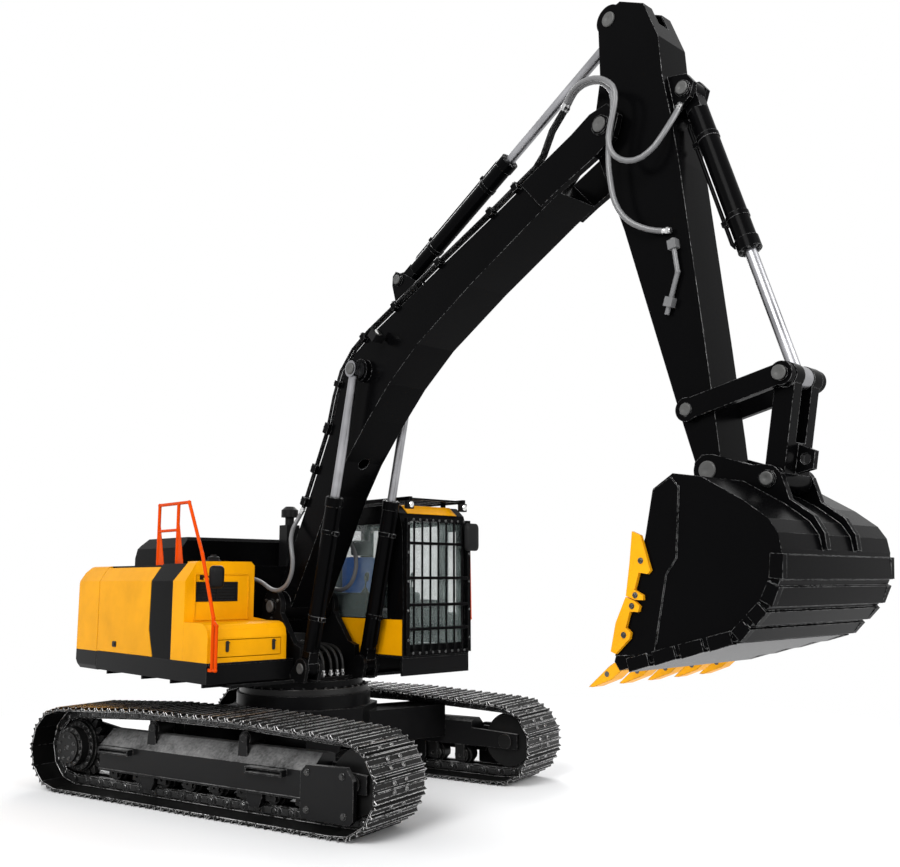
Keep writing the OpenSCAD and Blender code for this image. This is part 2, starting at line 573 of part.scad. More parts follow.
module engine_hood() color(black) upper() difference() {
    union() {
        difference() {
            intersection() {
                yz(-weight_front, -cab_back - 100) polygon([[-hood_half, panel_top], [hood_half, panel_top],
                    [hood_half, panel_top + 190], [hood_half - 80, hood_top], [-hood_half + 80, hood_top],
                    [-hood_half, panel_top + 190]]);
                xz(-hood_half - 20, hood_half + 20) polygon([[hood_x[0], panel_top], [hood_x[1], panel_top],
                    [hood_x[1], hood_top - 35], [hood_x[1] - 35, hood_top], [hood_x[0] + 165, hood_top],
                    [hood_x[0] + 70, hood_top - 75], [hood_x[0], panel_top + 90]]);
            }
            intersection() {
                yz(-weight_front, -cab_back - 100) polygon([[-hood_half + 30, panel_top - 5],
                    [hood_half - 30, panel_top - 5], [hood_half - 30, panel_top + 170],
                    [hood_half - 100, hood_top - 30], [-hood_half + 100, hood_top - 30],
                    [-hood_half + 30, panel_top + 170]]);
                xz(-hood_half - 20, hood_half + 20) polygon([[hood_x[0] + 30, panel_top - 5],
                    [hood_x[1] - 30, panel_top - 5], [hood_x[1] - 30, hood_top - 60],
                    [hood_x[1] - 60, hood_top - 30], [hood_x[0] + 180, hood_top - 30],
                    [hood_x[0] + 95, hood_top - 95],
                    [hood_x[0] + 30, panel_top + 90]]);
            }
        }
        both() bar_y(hood_axis, 10, hood_knuckle[0], hood_knuckle[1]);
        both() box(hood_axis[0], hood_axis[0] + 20, hood_knuckle[0], hood_knuckle[1],
            hood_axis[1] - 2, hood_axis[1] + 10);
    }
    both() bar_y(hood_axis, 6 + run_gap, hood_knuckle[0] - 5, hood_knuckle[1] + 5);
}

// Cab with cut windows
cab_side = [[-cab_back, floor_z], [cab_front, floor_z], [cab_front, 1760], [cab_front - 20, 2560],
    [cab_front - 70, 2720], [cab_front - 180, cab_top], [-cab_back + 120, cab_top],
    [-cab_back, cab_top - 100]];
door_x0 = -330;
door_x1 = 640;
door_side = [[door_x0, floor_z + 70], [door_x1, floor_z + 70], [door_x1 + 60, 1800], [door_x1, 2700],
    [door_x0, 2700]];
door_pane = [[door_x0, 1760], [door_x1 + 40, 1760], [door_x1 + 40, 2100], [door_x1, 2700], [door_x0, 2700]];
module cab_shell() color(black) upper() union() {
    cab_box();
    for (z = door_hinge_z) {
        translate([door_x0, knuckle_y, z]) cylinder(r = 14, h = 30);
        translate([door_x0, knuckle_y, z + 20]) cylinder(r = 7, h = 40);
        box(door_x0 - 60, door_x0 - 2, half_w - 5, half_w + 14, z, z + 30);
    }
}
module cab_box() difference() {
    xz(cab_in, half_w) polygon(cab_side);
    xz(cab_in + cab_t, half_w - cab_t) polygon(inset(cab_side, cab_t));
    box(cab_front - 300, cab_front + 10, cab_in + cab_t, half_w - cab_t, floor_z + 110, 2640);
    box(-cab_back - 10, -cab_back + 100, cab_in + 110, half_w - 110, 1900, 2620);
    box(-430, 780, cab_in - 10, cab_in + 100, 1660, 2620);
    box(720, 900, half_w - 100, half_w + 10, 1700, 2560);
    box(-580, -420, half_w - 100, half_w + 10, 1900, 2620);
    box(-150, 450, cab_in + 170, half_w - 170, cab_top - 100, cab_top + 10);
    xz(half_w - 100, half_w + 10) polygon(door_side);
}
module cab_glass() color(clear) upper() {
    xz(cab_in + cab_t, half_w - cab_t) translate([cab_front, 0]) polygon([[-40, floor_z + 110],
        [-32, floor_z + 110], [-32, 1760], [-50, 2520], [-62, 2640], [-70, 2640], [-58, 2520], [-40, 1760]]);
    box(-cab_back + 20, -cab_back + 20 + pane, cab_in + 110, half_w - 110, 1900, 2620);
    box(-430, 780, cab_in + 20, cab_in + 20 + pane, 1660, 2620);
    box(720, 900, half_w - 28, half_w - 28 + pane, 1700, 2560);
    box(-580, -420, half_w - 28, half_w - 28 + pane, 1900, 2620);
}
door_hinge_z = [1480, 2050, 2520];
module cab_door() color(black) upper() difference() {
    union() {
        xz(half_w - 40, half_w) polygon(inset(door_side, side_gap));
        for (z = door_hinge_z) {
            translate([door_x0, knuckle_y, z + 30 + run_gap]) cylinder(r = 14, h = 30);
            box(door_x0 + 2, door_x0 + 60, half_w - 5, half_w + 14, z + 30 + run_gap, z + 60);
        }
    }
    for (z = door_hinge_z) translate([door_x0, knuckle_y, z]) cylinder(r = 7 + run_gap, h = 70);
    xz(half_w - 60, half_w + 10) polygon(inset(door_pane, 70));
}
module door_glass() color(clear) upper() xz(half_w - 26, half_w - 18) polygon(inset(door_pane, 70));
module cab_guard() color(black) upper() union() {
    for (y = [cab_in + 10, half_w - 50]) box(cab_front, cab_front + 45, y, y + 40, floor_z + 15, 2670);
    for (z = [floor_z + 15, 1540, 1780, 2050, 2400, 2640])
        box(cab_front + 6, cab_front + 40, cab_in + 12, half_w - 12, z, z + 30);
    for (i = [1 : 7]) box(cab_front + 16, cab_front + 32, cab_in + 10 + i * (half_w - cab_in - 20) / 8 - 8,
        cab_in + 10 + i * (half_w - cab_in - 20) / 8 + 8, floor_z + 30, 2650);
    for (y = [cab_in + 60, half_w - 100]) box(-300, cab_front + 20, y, y + 40, cab_top + 40, cab_top + 80);
    for (x = [-200, 700]) for (y = [cab_in + 60, half_w - 100])
        box(x, x + 40, y, y + 40, cab_top, cab_top + 45);
    for (x = [-290 : 160 : 990]) box(x, x + 40, cab_in + 65, half_w - 65, cab_top + 50, cab_top + 70);
}
module cab_panel() color(yellow) upper() {
    box(-420, cab_front - 15, cab_in - 6, cab_in, floor_z + 8, 1650);
    xz(cab_in + 110, half_w - 110) polygon([[cab_front - 70, 2720], [cab_front - 66, 2725],
        [cab_front - 176, cab_top + 5], [cab_front - 180, cab_top]]);
}
module cab_lamps() color(bright) upper() for (y = [cab_in + 80, half_w - 80]) union() {
    box(cab_front - 28, cab_front + 16, y - 45, y + 45, cab_top - 45, cab_top + 40);
    translate([cab_front + 10, y, cab_top - 2]) rotate([0, 90, 0]) cylinder(r = 34, h = 18);
}
// Place across the inside of the cab, as a share of its width
function cab_y(f) = cab_in + cab_t + f * (half_w - cab_in - 2 * cab_t);
seat_z = floor_z + cab_t;
module cab_seat() color([0.15, 0.15, 0.16]) upper() difference() {
    union() {
        box(-250, 250, cab_y(0.234), cab_y(0.802), seat_z, seat_z + 260);
        box(-270, 300, cab_y(0.208), cab_y(0.827), seat_z + 260, seat_z + 380);
        box(-330, -200, cab_y(0.221), cab_y(0.814), seat_z + 370, seat_z + 960);
        box(-290, -220, cab_y(0.347), cab_y(0.688), seat_z + 950, seat_z + 1150);
        for (f = [0.032, 0.852]) box(-240, 330, cab_y(f), cab_y(f + 0.139), seat_z, seat_z + 560);
    }
    translate([0, cab_y(0.5177), floor_z]) cylinder(r = 20, h = 40);
}
rail_y = -strip_y + 23;
rail_low = [box_front + 45, -half_w + 28, 1232];
rail_top = 2820;
module handrail() color(orange) upper() union() {
    tube_run([rail_low, rail_low + [0, 0, 470], [60, -half_w + 110, 2300], [-330, rail_y, rail_top],
        [-950, rail_y, rail_top], [-950, rail_y, panel_top]], 17);
    tube_run([[-545, rail_y, rail_top], [-545, rail_y, panel_top]], 17);
    tube_run([[-950, rail_y, 2550], [-545, rail_y, 2550]], 15);
    tube_run([rail_low, rail_low + [62, 0, 0], rail_low + [62, 0, 400], rail_low + [0, 0, 440]], 15);
    for (x = [-950, -545]) xz(rail_y - 5, rail_y + 5)
        polygon([[x, 2600], [x + 30, 2600], [x + 130, panel_top], [x, panel_top]]);
    box(box_front - 5, box_front + 60, -half_w + 12, -half_w + 44, 1218, 1246);
    tube_run([[cab_front - 45, half_w, 2540], [cab_front - 45, half_w + 55, 2540],
        [cab_front - 28, half_w + 55, 1640], [cab_front - 28, half_w, 1640]], 14);
}
module mirrors() color(black) upper() {
    box(195, 235, -half_w + 112, -half_w + 267, 1970, 2185);
    box(tank_front, 195, -half_w + 160, -half_w + 182, 2068, 2090);
    box(cab_front + 60, cab_front + 100, half_w - 120, half_w + 80, 2350, 2640);
    box(cab_front + 45, cab_front + 62, half_w - 45, half_w - 15, 2450, 2550);
}
module pre_cleaner() color(black) upper() union() {
    box(-850, -700, 215, 385, panel_top, panel_top + 460);
    translate([-775, 300, panel_top + 455]) cylinder(r = 50, h = 105);
    translate([-775, 300, panel_top + 550]) cylinder(r = 95, h = 80);
    translate([-775, 300, panel_top + 630]) cylinder(r1 = 95, r2 = 50, h = 40);
}
module valve_block() color(steel) upper() box(-540, -330, -250, 250, floor_z, 1480);

// Front: boom, arm, bucket and links
module boom() color(black) upper() boom_frame() difference() {
    union() {
        xz(-boom_w / 2, boom_w / 2) polygon(boom_line);
        bar_y([0, 0], bend_r, -foot_half, foot_half);
        both() xz(nose_half - 60, nose_half) polygon(concat(
            stretch(boom_k, [[4900, 55], [5080, 5], [5480, -130]]),
            [[boom_len, -170], [boom_len + 150, -80], [boom_len + 150, 80], [boom_len, 170]],
            stretch(boom_k, [[5480, 215], [5080, 335], [4900, 385]])));
        both() bar_y([boom_len, 0], 75, nose_half - 5, nose_half + 22);
        both() bar_y(bc_pin_u, 110, boom_w / 2 - 20, bc_y - eye_h - side_gap);
        both() xz(fork_in, fork_in + 45) polygon(concat(stretch(boom_k, [[3050, 900], [3560, 760]]),
            [for (q = [[95, -40], [30, 95], [-30, 95], [-95, 30]]) ac_base_u + q]));
        both() bar_y(ac_base_u, 60, fork_in + 40, fork_in + 65);
        bar_y(ac_base_u, pin_r, -fork_in - 5, fork_in + 5);
    }
    difference() {
        xz(-boom_w / 2 + boom_t, boom_w / 2 - boom_t) polygon(inset(boom_line, boom_t));
        bar_y([0, 0], bend_r, -400, 400);
        bar_y(bc_pin_u, 110, -400, 400);
        both() xz(fork_in, fork_in + 45)
            polygon(stretch(boom_k, [[3050, 880], [3750, 680], [3750, 900], [3050, 1100]]));
        box(5030 * boom_k, 5490 * boom_k, -500, 500, -500, 800);
    }
    bar_y([0, 0], pin_r + run_gap, -foot_half - 5, foot_half + 5);
    bar_y([boom_len, 0], pin_r + run_gap, -nose_half + 1, nose_half - 1);
    translate([1700 * boom_k, 0, 250]) cylinder(r = 60, h = 200);
    xz(-arm_w / 2 - side_gap, arm_w / 2 + side_gap) translate([boom_len, 0]) circle(r = 230);
}
pipe_rise = 45;
pipe_in = [190, 272];
raised = inset(boom_line, -pipe_rise);
pipe_line = concat([mix(raised[18], raised[19], 0.12)], [for (i = [18 : -1 : 11]) raised[i]],
    stretch(boom_k, [[5080, 384], [5200, 388], [5390, 458], [5570, 470]]));
// Pipe of round rings along points of a plane at y
module swept_pipe(p, y, r, n = 10) {
    k = len(p);
    way = [for (i = [0 : k - 1]) let (d = p[min(i + 1, k - 1)] - p[max(i - 1, 0)]) d / norm(d)];
    polyhedron([for (i = [0 : k - 1], j = [0 : n - 1]) let (a = j * 360 / n)
        [p[i][0] - r * cos(a) * way[i][1], y - r * sin(a), p[i][1] + r * cos(a) * way[i][0]]],
        concat([[for (j = [0 : n - 1]) j]],
            [for (i = [0 : k - 2], j = [0 : n - 1]) [i * n + j, i * n + n + j, i * n + (j + 1) % n]],
            [for (i = [0 : k - 2], j = [0 : n - 1])
                [i * n + n + j, i * n + n + (j + 1) % n, i * n + (j + 1) % n]],
            [[for (j = [n - 1 : -1 : 0]) (k - 1) * n + j]]));
}
module clamp_block(i, f, w) {
    a = boom_line[i];
    b = boom_line[i + 1];
    d = (b - a) / norm(b - a) * w / 2;
    n = outward(a, b) * (pipe_rise + 27);
    m = mix(a, b, f);
    xz(pipe_in[0], pipe_in[1]) polygon([m - d, m + d, m + d + n, m - d + n]);
}
module boom_pipes() color(black) upper() boom_frame() both() union() {
    for (y = [210, 250]) swept_pipe(pipe_line, y, 16);
    swept_pipe([mix(raised[18], raised[19], 0.2), raised[19], raised[20]], 231, 23);
    clamp_block(18, 0.16, 110);
    for (f = [0.14, 0.86]) clamp_block(19, f, 90);
    for (c = [[16, 0.5], [14, 0.3], [13, 0.15], [12, 0.1], [11, 0.1], [10, 0.5]]) clamp_block(c[0], c[1], 60);
}
module arm_pipe() color(steel) upper() arm_frame() union() {
    y = arm_w / 2 + 28;
    tube_run([[1165 * arm_k, -y, 254], [1421 * arm_k, -y, 215], [1675 * arm_k, -y, 32]], 18);
    for (p = [[1210, 247, -9], [1600, 86, -36]]) translate([p[0] * arm_k, -y - 28, p[1]])
        rotate([0, -p[2], 0]) translate([-35, 0, -34]) cube([70, 56, 68]);
}
module boom_lamp() color(bright) upper() boom_frame() both() union() {
    x = 2900 * boom_k;
    translate([x, boom_w / 2, 850]) rotate([-90, 0, 0]) cylinder(r = 25, h = 40);
    box(x - 40, x + 40, boom_w / 2 + 40, boom_w / 2 + 160, 800, 900);
}
module arm() color(black) upper() arm_frame() difference() {
    union() {
        xz(-arm_w / 2, arm_w / 2) polygon(arm_line);
        bar_y([0, 0], 170, -arm_w / 2, arm_w / 2);
        bar_y([arm_len, 0], 105, -arm_w / 2, arm_w / 2);
        xz(-arm_w / 2, arm_w / 2) translate(ac_pin_s) circle(r = 120);
        both() xz(fork_in, fork_in + 45)
            polygon(stretch(arm_k, [[-150, 480], [230, 460], [160, 680], [70, 745], [-25, 710]]));
        both() bar_y(kc_base_s, 60, fork_in + 40, fork_in + 65);
        bar_y(kc_base_s, pin_r, -fork_in - 5, fork_in + 5);
        bar_y([0, 0], pin_r, -nose_half + 2, nose_half - 2);
        bar_y(idler_pin_s, 70, -arm_w / 2 - 1, arm_w / 2 + 1);
        bar_y(idler_pin_s, pin_r, -link_in - link_t - 4, link_in + link_t + 4);
        both() bar_y([arm_len, 0], pin_r, 0, ear_in + ear_t);
    }
    difference() {
        xz(-arm_w / 2 + arm_t, arm_w / 2 - arm_t) polygon(inset(arm_line, arm_t));
        bar_y([0, 0], 170, -400, 400);
        bar_y(ac_pin_s, 125, -400, 400);
        bar_y(idler_pin_s, 70, -400, 400);
        both() xz(fork_in, fork_in + 45)
            polygon(stretch(arm_k, [[-250, 550], [420, 450], [420, 650], [-250, 800]]));
        box(2560 * arm_k, 3000 * arm_k, -400, 400, -400, 400);
    }
    translate([1200 * arm_k, 0, -200]) cylinder(r = 50, h = 150);
    box(-1200 * arm_k, -600 * arm_k, -fork_in, fork_in, -300, 900);
}
module bucket() color(black) upper() bucket_frame() difference() {
    union() {
        xz(-bucket_w / 2, bucket_w / 2) polygon(bucket_in);
        both() xz(ear_in, ear_in + ear_t) polygon([[-110, -40], [-100, 60], [-40, 108], [40, 108], [330, 10],
            [hook_pin_b[0], 5], [hook_pin_b[0] + 90, -60], [600, -280], [hook_pin_b[0], -200], [0, -140]]);
        both() bar_y([0, 0], 110, ear_in, ear_in + ear_t);
        both() bar_y(hook_pin_b, 90, ear_in, ear_in + ear_t);
        both() bar_y(hook_pin_b, 55, ear_in + ear_t - 5, ear_in + ear_t + 20);
        for (i = [0 : len(wear) - 2]) {
            xz(-bucket_w / 2 + 10, bucket_w / 2 - 10) wear_strip(wear[i], wear[i + 1]);
            both() xz(bucket_w / 2 - 30, bucket_w / 2 + 18) shroud(wear[i], wear[i + 1]);
        }
        both() xz(bucket_w / 2 - 5, bucket_w / 2 + 12) polygon([[-158, -460], [-425, -1226], [-120, -1205],
            [-10, -700], [70, -600], [105, -150], [50, -85], [-90, -160]]);
        both() xz(ear_in, ear_in + ear_t) polygon([[520, -262], [560, -210], [738, -338], [803, -450],
            [814, -552], [770, -560], [752, -465], [698, -388]]);
    }
    xz(-bucket_w / 2 + bucket_t, bucket_w / 2 - bucket_t) polygon([[0, -150], [-120, -200], [-190, -460],
        [-470, -1264], [-420, -1290], [464, -1062], [561, -972], [664, -876], [738, -731], [755, -560],
        [738, -478], [690, -398], [545, -290], [268, -125]]);
    both() bar_y([0, 0], pin_r + run_gap, 0, ear_in + ear_t + 20);
    both() bar_y([0, 0], 130, 0, ear_in);
    bar_y(hook_pin_b, 100, -ear_in, ear_in);
}
// Back and floor of the bucket from the lip up, for the wear strips and corner shrouds
wear = [[-330, -1302], [-129, -1249], [72, -1196], [273, -1143], [474, -1090], [579, -992], [688, -890],
    [764, -741], [782, -555]];
module wear_strip(a, b) {
    d = (b - a) / norm(b - a);
    n = outward(a, b);
    polygon([a + d * 4 - n * 6, a + d * 10 + n * 26, b - d * 34 + n * 14, b - d * 30 - n * 6]);
}
module shroud(a, b) {
    d = (b - a) / norm(b - a);
    n = outward(a, b);
    polygon([a + d * 12 - n * 62, a + d * 12 + n * 26, b - d * 30 + n * 20, b - d * 30 - n * 62]);
}
edge_a = [-160, -460];
edge_d = [-0.329, -0.944];
function on_edge(e, n) = edge_a + e * edge_d + n * [-0.944, 0.329];
module side_cutters() color(yellow) upper() bucket_frame() both() xz(bucket_w / 2 + 12, bucket_w / 2 + 38) {
    polygon([on_edge(-10, 92), on_edge(190, 50), on_edge(405, 14), on_edge(405, -60), on_edge(385, -122),
        on_edge(355, -110), on_edge(345, -38), on_edge(228, -38), on_edge(215, -104), on_edge(186, -120),
        on_edge(-5, 20)]);
    polygon([on_edge(412, 14), on_edge(600, 40), on_edge(790, 22), on_edge(790, -20), on_edge(655, -95),
        on_edge(615, -90), on_edge(600, -45), on_edge(490, -45), on_edge(470, -108), on_edge(430, -108),
        on_edge(412, -60)]);
}
module bucket_teeth() color(yellow) upper() bucket_frame() {
    for (i = [0 : teeth_n - 1]) {
        y = -bucket_w / 2 + 75 + i * (bucket_w - 150) / (teeth_n - 1);
        xz(y - 55, y + 55) polygon([[-400, -1320], [-440, -1264], [-500, -1300], [-660, -1432], [-675, -1446],
            [-640, -1445], [-480, -1385]]);
    }
}
module idler_links() color(black) upper() arm_frame() union() {
    both() difference() {
        union() {
            xz(link_in, link_in + link_t) polygon([idler_pin_s - [75, 0], idler_pin_s + [75, 0],
                link_pin_s + [70, 0], link_pin_s - [70, 0]]);
            bar_y(idler_pin_s, 85, link_in, link_in + link_t);
            bar_y(link_pin_s, 80, link_in, link_in + link_t);
            bar_y(link_pin_s, pin_r, rod_eye_h + side_gap, link_in + link_t + 25);
        }
        bar_y(idler_pin_s, pin_r + run_gap, link_in - 5, link_in + link_t + 30);
    }
}
module hook_link() color(black) upper() union() {
    l = norm(hook_pin - link_pin);
    between(link_pin, hook_pin) difference() {
        union() {
            both() bar_y([0, 0], 85, fork_in, fork_out);
            both() box(0, l, fork_in, fork_out - 10, -70, 70);
            box(430, l, -fork_out + 10, fork_out - 10, -70, 70);
            bar_y([l, 0], 85, -ear_in + side_gap, ear_in - side_gap);
            xz(-25, 25) polygon([[435, 60], [640, 60], [590, 190], [470, 190]]);
        }
        both() bar_y([0, 0], pin_r + run_gap, 0, fork_out + 5);
        bar_y([530, 130], 36, -30, 30);
    }
}

// Cylinders: barrel body with its base eye, rod with its far eye
module barrel(len, eye) difference() {
    union() {
        bar_y([0, 0], 85, -eye, eye);
        box(0, 175, -eye, eye, -60, 60);
        translate([170, 0, 0]) rotate([0, 90, 0]) cylinder(r = barrel_r, h = len - 170);
        translate([len - 90, 0, 0]) rotate([0, 90, 0]) cylinder(r = barrel_r + 8, h = 90);
    }
    translate([100, 0, 0]) rotate([0, 90, 0]) cylinder(r = rod_r + run_gap, h = len);
    translate([190, 0, 0]) rotate([0, 90, 0]) cylinder(r = barrel_r - 14, h = len - 280);
    bar_y([0, 0], pin_r + run_gap, -eye - 5, eye + 5);
}
module rod(reach, back, eye) union() {
    translate([reach - back, 0, 0]) rotate([0, 90, 0]) cylinder(r = rod_r, h = back);
    bar_y([reach, 0], 80, -eye, eye);
}
module boom_barrels() color(black) upper() both() translate([0, bc_y, 0]) between(bc_foot, bc_pin)
    barrel(bc_barrel, eye_h);
module boom_rods() color(bright) upper() both() translate([0, bc_y, 0]) between(bc_foot, bc_pin)
    rod(norm(bc_pin - bc_foot), norm(bc_pin - bc_foot) - bc_in, eye_h);
module arm_barrel() color(black) upper() between(ac_base, ac_pin) barrel(ac_barrel, rod_eye_h);
module arm_rod() color(bright) upper() between(ac_base, ac_pin)
    rod(norm(ac_pin - ac_base), norm(ac_pin - ac_base) - ac_in, rod_eye_h);
module bucket_barrel() color(black) upper() between(kc_base, link_pin) barrel(kc_barrel, rod_eye_h);
module bucket_rod() color(bright) upper() between(kc_base, link_pin)
    rod(norm(link_pin - kc_base), norm(link_pin - kc_base) - kc_in, rod_eye_h);

car_body();
slew_ring();
right_track_frame();
left_track_frame();
right_track();
left_track();
right_sprocket();
left_sprocket();
right_idler();
left_idler();
right_rollers();
left_rollers();
main_frame();
counterweight();
engine();
house_frame();
right_tank();
band_panel();
tool_box();
cab_shell();
cab_glass();
cab_guard();
cab_seat();
handrail();
mirrors();
pre_cleaner();
valve_block();
right_door();
left_door();
engine_hood();
box_lid();
cab_door();
door_glass();
boom();
boom_lamp();
arm();
bucket();
bucket_teeth();
idler_links();
hook_link();
boom_barrels();
boom_rods();
arm_barrel();
arm_rod();
bucket_barrel();
bucket_rod();
tank_vent();
cab_panel();
cab_lamps();
boom_pipes();
arm_pipe();
side_cutters();
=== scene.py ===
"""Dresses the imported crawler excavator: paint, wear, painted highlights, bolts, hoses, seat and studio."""

import logging
import math
from dataclasses import dataclass, field
from enum import Enum
from typing import Sequence

import bmesh
import bpy
from mathutils import Matrix, Vector


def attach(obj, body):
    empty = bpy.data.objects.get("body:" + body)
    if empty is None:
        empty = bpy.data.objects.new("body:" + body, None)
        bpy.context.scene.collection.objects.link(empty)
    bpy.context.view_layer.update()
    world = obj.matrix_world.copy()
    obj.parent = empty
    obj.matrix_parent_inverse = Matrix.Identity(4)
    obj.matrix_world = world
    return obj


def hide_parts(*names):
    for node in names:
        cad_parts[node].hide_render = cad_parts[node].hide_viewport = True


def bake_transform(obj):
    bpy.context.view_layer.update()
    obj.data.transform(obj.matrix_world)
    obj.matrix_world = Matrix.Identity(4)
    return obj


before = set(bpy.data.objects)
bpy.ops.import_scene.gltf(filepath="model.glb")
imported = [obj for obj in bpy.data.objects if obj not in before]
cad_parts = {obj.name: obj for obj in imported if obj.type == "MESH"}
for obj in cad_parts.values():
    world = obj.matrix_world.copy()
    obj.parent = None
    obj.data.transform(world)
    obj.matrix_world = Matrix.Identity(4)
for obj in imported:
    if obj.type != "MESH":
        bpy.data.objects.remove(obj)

LOG = logging.getLogger("excavator")
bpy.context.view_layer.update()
SLEW_BACK = 1.492
TRACK_TURN = math.radians(14.5)
GAUGE = 2.54

Point = tuple[float, float, float]
Colour = tuple[float, float, float]


class Body(str, Enum):
    """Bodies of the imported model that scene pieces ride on."""

    UNDER = "undercarriage"
    UPPER = "upper"
    BOOM = "boom"
    ARM = "arm"
    BUCKET = "bucket"
    DOOR = "cab_door"
    RIGHT_DOOR = "right_door"
    LEFT_DOOR = "left_door"
    LID = "box_lid"
    IDLER = "idler_links"
    BOOM_BARRELS = "boom_barrels"
    BOOM_RODS = "boom_rods"
    ARM_BARREL = "arm_barrel"
    BUCKET_BARREL = "bucket_barrel"


def upper(x: float, y: float, z: float) -> Vector:
    """Point of the upper structure, given from the slew axis, in metres."""
    return Vector((x - SLEW_BACK, y, z))


def lower(x: float, y: float, z: float) -> Vector:
    """Point of the undercarriage, given from the slew axis along the tracks."""
    c, s = math.cos(TRACK_TURN), math.sin(TRACK_TURN)
    return Vector((c * x - s * y - SLEW_BACK, s * x + c * y, z))


def lower_dir(x: float, y: float, z: float) -> Vector:
    """Direction of the undercarriage turned into the shared frame."""
    return lower(x, y, z) - lower(0.0, 0.0, 0.0)


@dataclass(frozen=True)
class Line:
    """A pin-to-pin line of the front, with its own along and across axes."""

    x: float
    z: float
    degrees: float

    def at(self, s: float, t: float, y: float = 0.0) -> Vector:
        """Point s along and t across the line, at sideways place y.

        Args:
            s: Distance along the line, metres.
            t: Distance across the line, metres.
            y: Sideways place, metres.

        Returns:
            The point in the shared frame.
        """
        a = math.radians(self.degrees)
        return upper(self.x + s * math.cos(a) - t * math.sin(a), y,
                     self.z + s * math.sin(a) + t * math.cos(a))


BOOM_LINE = Line(-0.08, 1.78, 41.2)
_nose = BOOM_LINE.at(5.69, 0.0)
ARM_LINE = Line(_nose.x + SLEW_BACK, _nose.z, -73.8)
_tip = ARM_LINE.at(2.865, 0.0)
BUCKET_LINE = Line(_tip.x + SLEW_BACK, _tip.z, 0.0)


class Graph:
    """Adds and links nodes in one node tree."""

    def __init__(self, tree: bpy.types.NodeTree) -> None:
        """Keeps the tree that the nodes go into."""
        self.tree = tree

    def add(self, kind: str, inputs: dict[object, object] | None = None, **props: object) -> bpy.types.Node:
        """Adds one node.

        Args:
            kind: Node type name.
            inputs: Values or sockets for the node's inputs, by name or number.
            **props: Attributes of the node.

        Returns:
            The new node.
        """
        node = self.tree.nodes.new(kind)
        for key, value in props.items():
            setattr(node, key, value)
        for key, value in (inputs or {}).items():
            if isinstance(value, bpy.types.NodeSocket):
                self.tree.links.new(value, node.inputs[key])
            else:
                node.inputs[key].default_value = value
        return node

    def math(self, operation: str, a: object, b: object = 0.0, clamp: bool = False) -> bpy.types.NodeSocket:
        """Adds a Math node and returns its output."""
        return self.add("ShaderNodeMath", {0: a, 1: b}, operation=operation, use_clamp=clamp).outputs[0]

    def mix(self, factor: object, a: object, b: object) -> bpy.types.NodeSocket:
        """Adds a colour Mix node and returns its output."""
        return self.add("ShaderNodeMix", {0: factor, 6: a, 7: b}, data_type="RGBA").outputs[2]

    def ramp(self, value: object, low: float, high: float, out_low: float = 0.0,
             out_high: float = 1.0) -> bpy.types.NodeSocket:
        """Adds a clamped Map Range node and returns its output."""
        return self.add("ShaderNodeMapRange",
                        {0: value, 1: low, 2: high, 3: out_low, 4: out_high}).outputs[0]


def rgba(colour: Colour) -> tuple[float, float, float, float]:
    """Colour with a full alpha."""
    return (*colour, 1.0)


